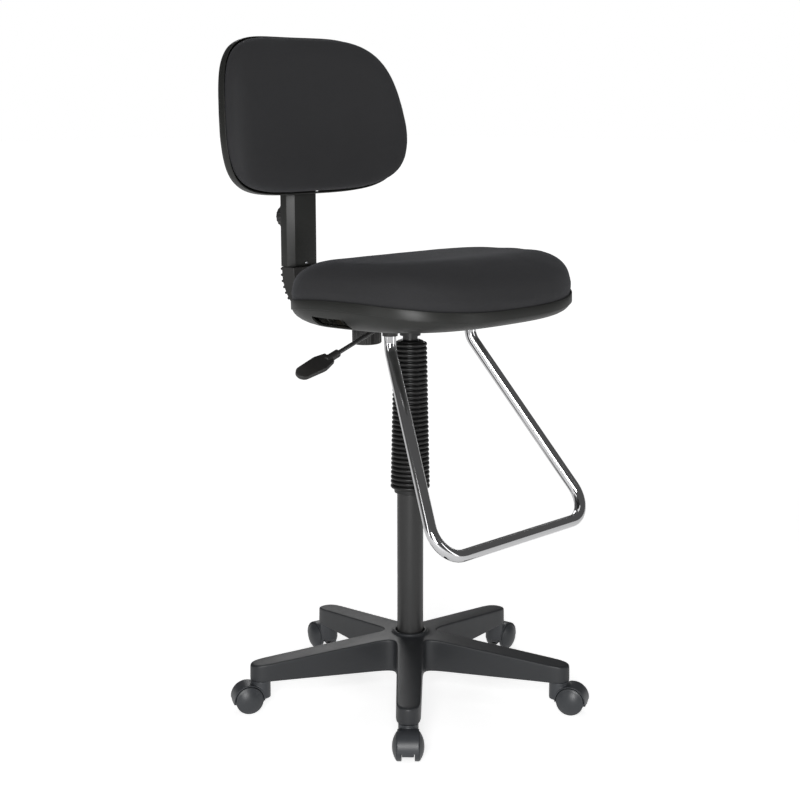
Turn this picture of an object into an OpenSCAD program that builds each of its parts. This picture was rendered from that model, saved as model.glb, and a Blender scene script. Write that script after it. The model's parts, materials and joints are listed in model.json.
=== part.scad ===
// Drafting chair: five-legged base on twin-wheel casters, gas-lift column under a bellows,
// padded seat with a teardrop footrest, and a padded back on a J-shaped bar.
// The origin is on the floor at the column's axis. The sitter faces -Y, and +Z is up.

/* [Base] */
// Distance from the column's axis to the end of a leg
base_r = 318; // [265:1:380]
// Width of a leg at its round end
leg_end_w = 43; // [38:0.5:52]
// Width of a leg where it meets the hub
leg_root_w = 50; // [44:0.5:58]
// Depth of a leg at its end
leg_end_h = 31.5; // [28:0.5:42]
// Depth of a leg where it meets the hub
leg_root_h = 57; // [44:0.5:66]
// How much lower a leg's underside is at the hub than at its end
leg_root_drop = 3; // [0:0.5:6]
// Thickness of the legs' skin and ribs
leg_wall = 4; // [3:0.5:6]
// Height of the hub
hub_h = 71; // [60:1:90]
// Thickness of the hub's wall at its top
hub_wall = 5; // [4:0.5:9]
// Diameter of the open collar round the column
hub_mouth_d = 56; // [53:0.5:60]
// Turn of the first leg from the +X axis
first_leg_angle = -137.7; // [-180:0.1:180]

/* [Casters] */
// Diameter of a wheel
wheel_d = 52; // [40:1:62]
// Width of a wheel's tread
tread_w = 8.4; // [6:0.2:14]
// Gap between the two wheels of a caster
wheel_gap = 23.2; // [18:0.2:30]
// Bulge of a wheel's domed face
dome_h = 8.6; // [4:0.2:12]
// How far a wheel's axle trails behind the stem
trail = 25.5; // [18:0.5:34]
// Height of a leg's underside above the floor
leg_under_z = 60.5; // [50:0.5:74]
// Diameter of a caster's stem
stem_d = 11; // [8:0.5:13]
// Length of stem inside a leg
stem_in_leg = 22; // [16:0.5:26]
// Diameter of a wheel's axle
axle_d = 6; // [5:0.5:8]

/* [Column] */
// Outer diameter of the column's tube
column_d = 50; // [46:1:52]
// Wall of the column's tube
column_wall = 2.4; // [1.5:0.1:3]
// Height of the column's top end above the floor
column_top_z = 410; // [380:1:440]
// Diameter of the gas cylinder
cylinder_d = 28; // [24:1:32]
// Wall of the gas cylinder
cylinder_wall = 2; // [1.5:0.1:3]
// Diameter of the piston rod
rod_d = 10; // [8:0.5:12]
// Travel of the gas lift
stroke = 200; // [120:5:210]
// Height of the seat shell's underside at the column's axis
seat_under_z = 737; // [700:1:760]

/* [Bellows] */
// Number of ribs on the bellows
bellows_ribs = 32; // [20:1:40]
// Diameter over the lowest rib
bellows_bottom_d = 75; // [68:1:82]
// Diameter over the highest rib
bellows_top_d = 63; // [58:1:70]
// Height of the bellows' lower end above the floor
bellows_bottom_z = 402; // [396:1:404]

/* [Seat] */
// Width of the seat
seat_w = 498; // [400:1:600]
// Depth of the seat from front to back
seat_depth = 442; // [350:1:520]
// Distance of the seat's middle in front of the column
seat_forward = 61; // [20:1:70]
// Rearward slope of the seat in degrees
seat_tilt = 1.5; // [0:0.1:5]
// Height of the shell's rim above its underside
shell_rim_h = 47; // [42:1:58]
// Height of the shell's upright band
shell_band_h = 19; // [12:0.5:24]
// Wall of the plastic shells
shell_wall = 3; // [2:0.5:4]
// Thickness of the seat board
board_t = 12; // [9:1:15]
// Height of the cushion's crown above the shell's rim
cushion_h = 66; // [35:1:70]

/* [Mechanism] */
// Thickness of the pressed steel plate
plate_t = 3; // [2:0.5:4]
// Width of the mechanism's box
box_w = 70; // [60:1:90]
// Depth of the box below the shell's underside
box_drop = 14; // [10:0.5:20]
// Diameter of the taper socket
socket_d = 49; // [44:1:56]
// Distance of the depth knob behind the column
knob_y = 115; // [100:1:130]
// Diameter of the depth knob
depth_knob_d = 55; // [44:1:62]
// Diameter of the lever's rod
lever_d = 8; // [6:0.5:10]

/* [Footrest] */
// Diameter of the footrest's tube
foot_tube_d = 22; // [19:0.5:26]
// Height of the footrest's bar above the floor
foot_z = 363.5; // [320:1:400]
// Distance of the footrest's bar in front of the column
foot_y = 268; // [225:1:330]
// Width between the middles of the footrest's two corners
foot_w = 438; // [370:1:530]
// Width between the two legs where they bend upright
foot_top_w = 220; // [205:1:260]
// Height at which the legs bend upright
foot_bend_z = 695; // [660:1:700]
// Distance of the upright stretch in front of the column
foot_top_y = 53; // [45:1:75]
// Radius of the lower corners
foot_corner_r = 50; // [38:1:60]

/* [Back support] */
// Width of the J-bar
bar_w = 50; // [40:1:60]
// Thickness of the J-bar
bar_t = 6; // [4:0.5:8]
// Distance of the upright bar behind the column
bar_y = 300; // [290:1:320]
// Radius of the J-bar's bend
bend_r = 78; // [65:1:90]
// Width of the upright cover
cover_w = 80; // [68:1:92]
// Height of the upright cover's lower end above the floor
cover_bottom_z = 813; // [808:1:825]
// Height of the bar's top end above the floor
bar_top_z = 1010; // [980:1:1050]
// Diameter of the height knob
height_knob_d = 46; // [36:1:50]
// Height of the height knob above the floor
height_knob_z = 908; // [900:1:925]

/* [Back] */
// Width of the back
back_w = 463; // [390:1:570]
// Height of the back
back_h = 303; // [252:1:364]
// Height of the back's lower edge above the floor
back_bottom_z = 955; // [940:1:980]
// Rearward lean of the back in degrees
back_tilt = 9; // [0:0.5:12]
// Depth of the back shell's side wall
back_shell_d = 24; // [18:1:30]
// Thickness of the back's cushion
back_pad_h = 42; // [30:1:60]
// Distance of the back board's front behind the column, at the back's lower edge
back_y = 262; // [250:1:270]
// Radius to which the back is curved round the sitter
back_wrap_r = 800; // [600:10:1400]
// Thickness of the back's board
back_board_t = 8; // [6:0.5:12]

/* [Travel] */
// Travel of the back's height, each way
back_height_travel = 30; // [10:1:40]
// Travel of the J-bar, each way
back_depth_travel = 20; // [5:1:25]

/* [Hidden] */
$fn = 64;
fine = 96;
fit = 0.05;        // radial clearance of a shaft in its hole
gap = 0.3;         // gap between pieces that move past each other
join = 0.2;        // gap between pieces that are fastened together
legs = 5;
stem_r_pos = base_r - leg_end_w / 2 - 1;
column_foot_z = leg_under_z - 4;
hub_top_z = column_foot_z + hub_h;
hub_r = hub_mouth_d / 2 + hub_wall;
hub_disc_r = leg_root_w / 2 / sin(180 / legs) + 2;
column_in_d = column_d - 2 * column_wall;
cylinder_in_d = cylinder_d - 2 * cylinder_wall;
cylinder_top_z = seat_under_z;
pin_d = 6;
pin_top_z = cylinder_top_z + 8.5;
race_z = column_foot_z + 4;
race_t = 2.4;
ball_d = 4;
shoulder_h = 5;
shoulder_z = race_z + 2 * race_t + ball_d + join;
cylinder_foot_z = shoulder_z + shoulder_h + 10.5 + stroke;
bellows_top_z = seat_under_z - 42;
bellows_pitch = (bellows_top_z - bellows_bottom_z - 12) / bellows_ribs;
socket_foot_z = seat_under_z - 34;
seat_a = seat_w / 2;
seat_b = seat_depth / 2;
board_z = shell_rim_h - board_t - 11;
cut_w = box_w + 84;
cut_front = 70;
cut_back = 190;
box_front = 45;
box_back = 148;
lever_pivot_x = -28;
lever_slope = 18.2;
lever_z = pin_top_z + lever_d / 2 + 1;
foot_lean = atan((foot_y - foot_top_y) / (foot_bend_z - foot_z));
foot_slant = (foot_bend_z - foot_z) / cos(foot_lean);
foot_splay = atan((foot_w - foot_top_w) / 2 / foot_slant);
foot_wall = 1.5;
foot_top_r = 40;
foot_set_back = foot_corner_r * tan((90 + foot_splay) / 2);
foot_top_z = seat_under_z - 4;
bar_mid = -1 - bar_t / 2;
bar_front = 80 - back_depth_travel;
bend_steps = 18;
bend_c_y = bar_y - bend_r;
bend_start = (bend_c_y - (bar_mid + bend_r) * sin(seat_tilt)) / cos(seat_tilt);
bend_c_z = seat_under_z - bend_start * sin(seat_tilt) + (bar_mid + bend_r) * cos(seat_tilt);
cover_front = bar_y - 19;
cover_back = bar_y + 10;
cover_wall = 2.5;
cover_top_z = bar_top_z - 25;
boot_w = cover_w + 6;
boot_r = bend_r + bar_t / 2 + 5;
boot_in_r = boot_r - 35;
boot_wall = 2.6;
boot_rib = 4;
bracket_t = 5;
bracket_w = 40;
bracket_y = bar_y - bar_t / 2 - gap - bracket_t;
knob_face_y = cover_back + 10;
bolt_d = 6;
head_d = 11;

// ---- shared shapes ----

// A ring about the Z axis, from height z up to z + h
module ring(r_out, r_in, z, h) {
    difference() {
        translate([0, 0, z]) cylinder(r = r_out, h = h);
        translate([0, 0, z - 1]) cylinder(r = r_in, h = h + 2);
    }
}

// A cylinder along +Y from y to y + h
module rod_y(r, y, h) {
    translate([0, y, 0]) rotate([-90, 0, 0]) cylinder(r = r, h = h);
}

// The seat's own frame: its underside is z = 0, and it slopes down to the rear
module seat_frame() {
    translate([0, 0, seat_under_z]) rotate([-seat_tilt, 0, 0]) children();
}

// The back's own frame: x across, y to the rear from the board's front, z up from its lower edge
module back_frame() {
    translate([0, back_y, back_bottom_z]) rotate([-back_tilt, 0, 0]) children();
}

function power(v, p) = sign(v) * pow(abs(v), p);

// Outline of the seat, inset from its edge: squarer at the rear, rounder and narrower at the front
function seat_outline(inset) = [
    for (t = [0:5:355])
        let (s = sin(t), p = s > 0 ? 2 / 3 : 2 / 2.8, taper = s > 0 ? 1 : 1 - 0.03 * s * s)
            [(seat_a - inset) * power(cos(t), p) * taper, (seat_b - inset) * power(s, p) - seat_forward]];

// Outline of the back: widest below its middle
function back_outline(inset) = [
    for (t = [0:5:355])
        let (s = sin(t), p = 2 / 3.9, v = power(s, p), taper = 1 - 0.18 * pow(max(0, v + 0.35) / 1.35, 1.6))
            [(back_w / 2 - inset) * power(cos(t), p) * taper, (back_h / 2 - inset) * v + back_h / 2]];

module seat_slab(inset, z, h = 0.1) {
    translate([0, 0, z]) linear_extrude(h) polygon(seat_outline(inset));
}

// A curved slice of the back between two depths behind the board's front
module back_slice(inset, y_front, y_back) {
    intersection() {
        translate([0, 100, 0]) rotate([90, 0, 0]) linear_extrude(260) polygon(back_outline(inset));
        translate([0, -back_wrap_r, -20]) difference() {
            cylinder(r = back_wrap_r + y_back, h = back_h + 40, $fn = fine);
            translate([0, 0, -1]) cylinder(r = back_wrap_r + y_front, h = back_h + 42, $fn = fine);
        }
    }
}

module per_leg(n) {
    rotate([0, 0, first_leg_angle + 360 / legs * (n - 1)]) children();
}

module at_stem(n) {
    per_leg(n) translate([stem_r_pos, 0, 0]) children();
}

module at_axle(n) {
    at_stem(n) translate([trail, 0, wheel_d / 2]) children();
}

// ---- base and casters ----

// One leg, tapering in width and depth; a positive inset gives the hollow under its skin
module leg(inset) {
    end_r = leg_end_w / 2 - inset;
    root_r = leg_root_w / 2 - inset;
    top_end = leg_under_z + leg_end_h - inset;
    top_root = leg_under_z + leg_root_h - inset;
    reach = stem_r_pos + leg_end_w / 2 + 1 - inset;
    foot_end = leg_under_z - (inset > 0 ? 1 : 0);
    foot_root = foot_end - leg_root_drop;
    intersection() {
        translate([0, 0, foot_root]) linear_extrude(leg_root_h + leg_root_drop + 2) union() {
            polygon([[0, -root_r], [stem_r_pos, -end_r], [stem_r_pos, end_r], [0, root_r]]);
            translate([stem_r_pos, 0]) circle(r = end_r);
        }
        translate([0, leg_root_w, 0]) rotate([90, 0, 0]) linear_extrude(2 * leg_root_w)
            polygon([[0, foot_root], [hub_r, foot_root], [stem_r_pos - 22, foot_end], [reach, foot_end],
                     [reach, top_end - 9], [reach - 3, top_end - 4], [reach - 10, top_end],
                     [hub_r + 22, top_root], [0, top_root]]);
    }
}

module leg_ribs() {
    for (x = [hub_r + 40:52:stem_r_pos - 30])
        translate([x, -leg_root_w / 2 + 1, leg_under_z + 5]) cube([leg_wall * 0.6, leg_root_w - 2, leg_root_h]);
}

module base_spider() {
    color([0.17, 0.17, 0.18]) difference() {
        union() {
            difference() {
                union() for (n = [1:legs]) per_leg(n) leg(0);
                for (n = [1:legs]) per_leg(n) difference() {
                    leg(leg_wall);
                    cylinder(r = hub_r + 6, h = 300);
                    leg_ribs();
                    translate([stem_r_pos, 0, 0]) cylinder(r = stem_d / 2 + 5, h = 300);
                }
            }
            translate([0, 0, column_foot_z]) cylinder(r = hub_disc_r, h = leg_under_z + leg_root_h + 0.4 - column_foot_z);
            translate([0, 0, column_foot_z]) cylinder(r = hub_r, h = hub_h);
        }
        translate([0, 0, column_foot_z - 1]) cylinder(r = column_d / 2 + fit, h = hub_h + 2);
        translate([0, 0, hub_top_z - 16]) cylinder(r = hub_mouth_d / 2, h = 17);
        for (n = [1:legs]) at_stem(n)
            translate([0, 0, leg_under_z - 2]) cylinder(r = stem_d / 2 + fit, h = stem_in_leg + 3);
    }
}

// The hood: an arched roof over both wheels, a web between them and a neck under the leg
module caster_hood(n) {
    roof_r = wheel_d / 2 + 3.4;
    roof_in_r = wheel_d / 2 + 1.2;
    half_w = wheel_gap / 2 + tread_w - 0.6;
    web_half = wheel_gap / 2 - 1;
    color([0.2, 0.2, 0.21]) difference() {
        union() {
            at_axle(n) rotate([90, 0, 0]) translate([0, 0, -half_w]) cylinder(r = roof_r, h = 2 * half_w);
            at_stem(n) translate([0, 0, wheel_d / 2]) cylinder(r = 18, h = leg_under_z - 0.8 - wheel_d / 2);
        }
        for (side = [-1, 1]) at_axle(n) translate([0, side * (web_half + 20), 0]) rotate([90, 0, 0])
            translate([0, 0, -20]) cylinder(r = roof_in_r, h = 40);
        at_axle(n) translate([-80, -60, -98]) cube([160, 120, 89]);
        for (side = [-1, 1]) at_axle(n) translate([-80, side * (web_half + 30) - 30, -93]) cube([160, 60, 90]);
        at_axle(n) rotate([90, 0, 0]) translate([0, 0, -40]) cylinder(r = axle_d / 2 + fit, h = 80);
        at_stem(n) translate([0, 0, leg_under_z - 20]) cylinder(r = stem_d / 2 + fit, h = 21);
    }
}

module caster_stem(n) {
    color([0.62, 0.62, 0.64]) at_stem(n) {
        translate([0, 0, leg_under_z - 19.6]) cylinder(r = stem_d / 2, h = 19.6 + stem_in_leg - 1);
        translate([0, 0, leg_under_z - 0.6]) cylinder(r = stem_d / 2 + 2.5, h = 0.3);
    }
}

module caster_axle(n) {
    reach = wheel_gap / 2 + tread_w + 3;
    color([0.62, 0.62, 0.64]) at_axle(n) rod_y(axle_d / 2, -reach, 2 * reach);
}

// A wheel: a narrow tread and a domed outer face, drilled from inside for the axle
module caster_wheel(n, side) {
    r = wheel_d / 2;
    dome_r = (r * r + dome_h * dome_h) / (2 * dome_h);
    inner = wheel_gap / 2;
    bore_depth = tread_w + 3.4;
    color([0.22, 0.22, 0.23]) at_axle(n) rotate([side > 0 ? -90 : 90, 0, 0]) difference() {
        union() {
            translate([0, 0, inner]) cylinder(r = r, h = tread_w);
            translate([0, 0, inner + tread_w]) intersection() {
                translate([0, 0, dome_h - dome_r]) sphere(r = dome_r, $fn = fine);
                cylinder(r = r, h = dome_h + 1);
            }
        }
        translate([0, 0, inner - 1]) cylinder(r = axle_d / 2 + fit, h = bore_depth + 1);
        translate([0, 0, inner - 1]) ring(r - 4, axle_d / 2 + 4, 0, tread_w);
    }
}

// ---- column and gas lift ----

module column_tube() {
    color([0.13, 0.13, 0.14]) {
        ring(column_d / 2, column_in_d / 2, column_foot_z, column_top_z - column_foot_z);
        ring(column_in_d / 2, rod_d / 2 + fit, column_foot_z, 4);
    }
}

module column_bush() {
    color([0.1, 0.1, 0.1]) {
        ring(column_in_d / 2 - fit, cylinder_d / 2 + fit, column_top_z - 80, 80);
        ring(column_d / 2, cylinder_d / 2 + fit, column_top_z, 4);
    }
}

module race(z) {
    color([0.7, 0.7, 0.72]) ring(column_in_d / 2 - 6, rod_d / 2 + 0.4, z, race_t);
}

module thrust_race_lower() {
    race(race_z);
}

module thrust_balls() {
    color([0.8, 0.8, 0.82]) for (a = [0:36:324]) rotate([0, 0, a])
        translate([rod_d / 2 + 5, 0, race_z + race_t + ball_d / 2]) sphere(d = ball_d);
}

module thrust_race_upper() {
    race(race_z + race_t + ball_d + join);
}

module piston_rod() {
    color([0.75, 0.75, 0.77]) difference() {
        union() {
            translate([0, 0, column_foot_z - 6]) cylinder(r = rod_d / 2, h = cylinder_foot_z + 34 - column_foot_z + 6);
            translate([0, 0, shoulder_z]) cylinder(r = rod_d / 2 + 4, h = shoulder_h);
        }
        ring(rod_d / 2 + 1, rod_d / 2 - 1, column_foot_z - 3.4, 1.6);
    }
}

module rod_clip() {
    color([0.5, 0.5, 0.52]) ring(rod_d / 2 + 4, rod_d / 2 - 1 + fit, column_foot_z - 3.3, 1.4);
}

module piston() {
    color([0.75, 0.75, 0.77]) difference() {
        ring(cylinder_in_d / 2 - fit, rod_d / 2 + fit, cylinder_foot_z + 18, 14);
        ring(cylinder_in_d / 2 + 1, cylinder_in_d / 2 - 1.2, cylinder_foot_z + 23, 4);
    }
}

// The pressure cylinder: hollow up to its head, with a bore for the valve pin
module gas_cylinder() {
    head_z = cylinder_top_z - 45;
    color([0.12, 0.12, 0.13]) difference() {
        translate([0, 0, cylinder_foot_z]) cylinder(r = cylinder_d / 2, h = cylinder_top_z - cylinder_foot_z);
        translate([0, 0, cylinder_foot_z - 1]) cylinder(r = cylinder_in_d / 2, h = head_z - cylinder_foot_z + 1);
        translate([0, 0, cylinder_top_z - 24]) cylinder(r = pin_d / 2 + fit, h = 25);
    }
}

module cylinder_gland() {
    color([0.6, 0.6, 0.55]) ring(cylinder_in_d / 2 - fit, rod_d / 2 + fit, cylinder_foot_z, 14);
}

module valve_pin() {
    color([0.75, 0.75, 0.77]) translate([0, 0, cylinder_top_z - 20]) cylinder(r = pin_d / 2, h = pin_top_z - cylinder_top_z + 20);
}

// The bellows: a collar on the column, a row of round-backed ribs, and a collar on the cylinder
module bellows() {
    wall = 1.6;
    foot = bellows_bottom_z + 8;
    r_low = bellows_bottom_d / 2;
    r_high = bellows_top_d / 2;
    rib_depth = 4.6;
    function r_at(i) = r_low + (r_high - r_low) * i / bellows_ribs;
    outside = [for (i = [0:bellows_ribs - 1], k = [0:3])
        [r_at(i) - (k == 0 || k == 3 ? rib_depth : 0), foot + bellows_pitch * (i + [0.04, 0.3, 0.7, 0.96][k])]];
    inside = [for (i = [0:bellows_ribs - 1]) [r_at(i) - rib_depth - wall, foot + bellows_pitch * (i + 0.5)]];
    n = len(outside);
    m = len(inside);
    color([0.09, 0.09, 0.09]) rotate_extrude($fn = fine) polygon(concat(
        [[column_d / 2 + join, bellows_bottom_z], [column_d / 2 + 5.5, bellows_bottom_z],
         [column_d / 2 + 5.5, foot]],
        outside,
        [[r_high - rib_depth, bellows_top_z - 3], [cylinder_d / 2 + 5, bellows_top_z],
         [cylinder_d / 2 + join, bellows_top_z], [cylinder_d / 2 + join, bellows_top_z - 3]],
        [for (i = [m - 1:-1:0]) inside[i]],
        [[column_d / 2 + 1.4, foot], [column_d / 2 + join, foot]]));
}

// ---- mechanism under the seat ----

module taper_socket() {
    color([0.14, 0.14, 0.15]) difference() {
        union() {
            translate([0, 0, socket_foot_z]) cylinder(r = 19.5, h = 6.2);
            translate([0, 0, socket_foot_z + 6]) cylinder(r = socket_d / 2, h = seat_under_z - box_drop - socket_foot_z - 7.4);
            translate([0, 0, socket_foot_z + 6]) cylinder(r = 19.5, h = cylinder_top_z - socket_foot_z - 6);
        }
        translate([0, 0, socket_foot_z - 1]) cylinder(r = cylinder_d / 2 + fit, h = cylinder_top_z);
    }
}

// The pressed box: open at the top and rear, with a flange bolted under the seat board
module mechanism_box() {
    flange_z = board_z - plate_t;
    color([0.12, 0.12, 0.13]) seat_frame() difference() {
        union() {
            translate([-box_w / 2, -box_front, -box_drop]) cube([box_w, box_front + box_back, flange_z + box_drop + plate_t]);
            translate([-box_w / 2 - 38, -box_front - 20, flange_z]) cube([box_w + 76, box_front + box_back + 8, plate_t]);
        }
        translate([-box_w / 2 + plate_t, -box_front + plate_t, -box_drop + plate_t])
            cube([box_w - 2 * plate_t, box_front + box_back, flange_z + box_drop + plate_t]);
        translate([0, 0, -box_drop - 1]) cylinder(r = 20.4, h = plate_t + 2);
        translate([0, knob_y, -box_drop - 1]) cylinder(r = 4 + fit, h = plate_t + 2);
        translate([-box_w / 2 - 1, -9, -box_drop + plate_t + 1]) cube([plate_t + 2, 28, 24]);
        bolt_places() translate([0, 0, flange_z - 1]) cylinder(r = bolt_d / 2 + 0.3, h = plate_t + 2);
    }
}

module bolt_places() {
    for (x = [-1, 1], y = [-1, 0, 1])
        translate([x * (box_w / 2 + 22), box_back / 2 - 25 + y * 76, 0]) children();
}

module foot_bolt_places() {
    for (x = [-1, 1], y = [-1, 1])
        translate([x * foot_top_w / 2, -foot_top_y + y * 26, 0]) children();
}

module bolt(head_z, reach) {
    translate([0, 0, head_z - 4]) cylinder(r = head_d / 2, h = 4);
    translate([0, 0, head_z - 0.1]) cylinder(r = bolt_d / 2, h = reach + 0.1);
}

module seat_bolts() {
    color([0.5, 0.5, 0.52]) seat_frame() {
        bolt_places() bolt(board_z - plate_t, plate_t + 9);
        foot_bolt_places() bolt(-plate_t - join, plate_t + join + board_z + 9);
    }
}

module lever_bracket() {
    foot = seat_under_z - box_drop + plate_t + 0.7;
    color([0.5, 0.5, 0.52]) difference() {
        for (y = [-1, 1]) translate([lever_pivot_x - 4, 5 + y * 7 - 1.5, foot])
            cube([8, 3, lever_z_at(lever_pivot_x) + 4 - foot]);
        translate([lever_pivot_x, 0, lever_z_at(lever_pivot_x)]) rod_y(2 + fit, -10, 40);
    }
}

function lever_z_at(x) = lever_z + x * tan(lever_slope);

module lever_pivot() {
    color([0.7, 0.7, 0.72]) translate([lever_pivot_x, 0, lever_z_at(lever_pivot_x)]) rod_y(2, -4, 18);
}

// The lever's own frame: along its rod, outwards from over the valve pin
module lever_frame() {
    translate([4, 5, lever_z_at(4)]) rotate([0, -90 - lever_slope, 0]) children();
}

module lever_rod() {
    color([0.12, 0.12, 0.13]) difference() {
        lever_frame() cylinder(r = lever_d / 2, h = 230);
        translate([lever_pivot_x, 0, lever_z_at(lever_pivot_x)]) rod_y(2 + fit, -10, 40);
    }
}

// The paddle: a socket over the rod's end and a flat rounded leaf
module lever_paddle() {
    color([0.1, 0.1, 0.1]) lever_frame() difference() {
        union() {
            translate([0, 0, 198]) cylinder(r = 7.5, h = 32);
            rotate([0, 0, -30]) hull() {
                translate([-4, -12, 220]) cube([8, 24, 4]);
                translate([-4, 0, 246]) rotate([0, 90, 0]) cylinder(r = 17, h = 9);
                translate([0, 0, 288]) rotate([0, 90, 0]) cylinder(r = 14, h = 8);
            }
        }
        translate([0, 0, 197]) cylinder(r = lever_d / 2 + fit, h = 34);
    }
}

module depth_knob() {
    color([0.1, 0.1, 0.1]) seat_frame() translate([0, knob_y, 0]) {
        translate([0, 0, -box_drop - 46]) cylinder(r = depth_knob_d / 2 - 3, h = 3.1);
        translate([0, 0, -box_drop - 43]) cylinder(r = depth_knob_d / 2, h = 27);
        translate([0, 0, -box_drop - 16.1]) cylinder(r = depth_knob_d / 2 - 10, h = 15.1);
        translate([0, 0, -box_drop - 2]) cylinder(r = 4, h = box_drop + 2 + bar_mid - bar_t / 2 - gap);
    }
}

// ---- seat ----

module seat_shell_body(inset, foot) {
    hull() {
        seat_slab(62 + inset, foot);
        seat_slab(36 + inset, foot + 5);
        seat_slab(13 + inset, foot + (shell_rim_h - shell_band_h - foot) * 0.62);
        seat_slab(2 + inset, shell_rim_h - shell_band_h);
        seat_slab(inset, shell_rim_h + (inset > 0 ? 1 : -0.1));
    }
}

module seat_shell() {
    color([0.13, 0.13, 0.135]) seat_frame() difference() {
        seat_shell_body(0, 0);
        seat_shell_body(shell_wall, shell_wall);
        translate([-cut_w / 2, -cut_front, -1]) cube([cut_w, cut_front + cut_back, shell_wall + 14]);
        // the rear wall is open up to the board, where the mechanism and the J-bar come out
        translate([-cut_w / 2, seat_b - seat_forward - 40, -1]) cube([cut_w, 40 + cut_back, board_z + 1]);
        foot_bolt_places() translate([0, 0, -1]) cylinder(r = bolt_d / 2 + 0.5, h = 10);
    }
}

module seat_board() {
    color([0.6, 0.48, 0.33]) seat_frame() difference() {
        seat_slab(shell_wall + 8, board_z, board_t);
        bolt_places() translate([0, 0, board_z - 1]) cylinder(r = bolt_d / 2 + fit, h = 11);
        foot_bolt_places() translate([0, 0, board_z - 1]) cylinder(r = bolt_d / 2 + fit, h = 11);
    }
}

module seat_cushion() {
    foot = board_z + board_t;
    rim_inset = shell_wall + 1.6;
    color([0.11, 0.11, 0.12]) seat_frame() {
        hull() {
            seat_slab(rim_inset, foot, shell_rim_h - foot);
            seat_slab(rim_inset, shell_rim_h);
        }
        hull() {
            seat_slab(rim_inset, shell_rim_h - 1, 1 + gap);
            seat_slab(2, shell_rim_h + 3 * gap, 2);
            seat_slab(0, shell_rim_h + 14, 4);
            seat_slab(12, shell_rim_h + 32);
            seat_slab(70, shell_rim_h + cushion_h - 0.1);
        }
    }
}

// ---- footrest ----

module tube_section() {
    difference() {
        circle(d = foot_tube_d);
        circle(d = foot_tube_d - 2 * foot_wall);
    }
}

// An arc of tube that starts downwards at the origin and turns towards +X
module tube_bend(r, angle) {
    trim = 0.01;
    translate([r, 0, 0]) rotate([90, 0, 0]) rotate([0, 0, 180 + trim])
        rotate_extrude(angle = angle - 2 * trim, $fn = fine) translate([r, 0]) tube_section();
}

// A stretch of tube up from the origin, with a ring in its wall that ties it to the next stretch at each end
module tube_straight(length) {
    tie = 1.5;
    linear_extrude(length) tube_section();
    for (z = [-tie, length - tie])
        ring(foot_tube_d / 2 - foot_wall * 0.3, foot_tube_d / 2 - foot_wall * 0.7, z, 2 * tie);
}

// One side of the footrest, from its upright end to the end of its lower corner
module foot_side() {
    turn = 90 + foot_splay;
    leg_length = foot_slant / cos(foot_splay);
    down = [sin(foot_splay), -cos(foot_splay) * sin(foot_lean), -cos(foot_splay) * cos(foot_lean)];
    dip = acos(-down[2]);
    top_back = foot_top_r * tan(dip / 2);
    translate([foot_top_w / 2, -foot_top_y, foot_bend_z]) {
        translate([0, 0, top_back]) tube_straight(foot_top_z - foot_bend_z - top_back - 1.5);
        translate([0, 0, top_back]) rotate([0, 0, atan2(down[1], down[0])]) tube_bend(foot_top_r, dip);
        rotate([-foot_lean, 0, 0]) rotate([0, 180 - foot_splay, 0]) {
            translate([0, 0, top_back]) tube_straight(leg_length - top_back - foot_set_back);
            translate([0, 0, leg_length - foot_set_back]) rotate([180, 0, 0]) tube_bend(foot_corner_r, turn);
        }
    }
}

module footrest_tube() {
    bar_half = foot_w / 2 - foot_set_back;
    color([0.85, 0.86, 0.88]) {
        foot_side();
        mirror([1, 0, 0]) foot_side();
        translate([-bar_half, -foot_y, foot_z]) rotate([0, 90, 0]) tube_straight(2 * bar_half);
    }
}

// A foot plate under the shell with a collar that holds the tube's end
module footrest_brackets() {
    color([0.12, 0.12, 0.13]) for (side = [-1, 1]) difference() {
        union() {
            seat_frame() translate([side * foot_top_w / 2 - 16, -foot_top_y - 36, -plate_t - join]) cube([32, 72, plate_t]);
            difference() {
                translate([side * foot_top_w / 2, -foot_top_y, foot_top_z - 14]) cylinder(r = foot_tube_d / 2 + 3, h = 24);
                seat_frame() translate([-seat_w, -seat_depth, -plate_t]) cube([2 * seat_w, 2 * seat_depth, 60]);
            }
        }
        translate([side * foot_top_w / 2, -foot_top_y, foot_top_z - 30]) cylinder(r = foot_tube_d / 2 + fit, h = 30 + 0.1);
        seat_frame() foot_bolt_places() translate([0, 0, -plate_t - 2]) cylinder(r = bolt_d / 2 + 0.3, h = plate_t + 4);
    }
}

// ---- back support ----

// A point of the seat's frame, as [y, z] from the floor at the column's axis
function seat_point(y, z) = [y * cos(seat_tilt) + z * sin(seat_tilt),
                             seat_under_z - y * sin(seat_tilt) + z * cos(seat_tilt)];

// The J-bar's bend at some radius, from its level run round to upright
function bend_points(r) = [for (i = [0:bend_steps])
    let (a = -(90 + seat_tilt) * (1 - i / bend_steps)) [bend_c_y + r * cos(a), bend_c_z + r * sin(a)]];

function reversed(points) = [for (i = [len(points) - 1:-1:0]) points[i]];

// An outline in the plane of Y and Z, as wide as width about the middle
module side_plate(width, points) {
    translate([-width / 2, 0, 0]) rotate([90, 0, 90]) linear_extrude(width) polygon(points);
}

// A slot along Z for something that passes through along Y
module slot_y(r, y, h, z_low, z_high) {
    translate([-r, y, z_low]) cube([2 * r, h, z_high - z_low]);
    for (z = [z_low, z_high]) translate([0, 0, z]) rod_y(r, y, h);
}

module back_bar() {
    color([0.13, 0.13, 0.14]) difference() {
        side_plate(bar_w, concat(
            [seat_point(bar_front, bar_mid - bar_t / 2)], bend_points(bend_r + bar_t / 2),
            [[bar_y + bar_t / 2, bar_top_z], [bar_y - bar_t / 2, bar_top_z]],
            reversed(bend_points(bend_r - bar_t / 2)), [seat_point(bar_front, bar_mid + bar_t / 2)]));
        slot_y(4.5, bar_y - 20, 40, height_knob_z - back_height_travel, height_knob_z + back_height_travel);
    }
}

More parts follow.
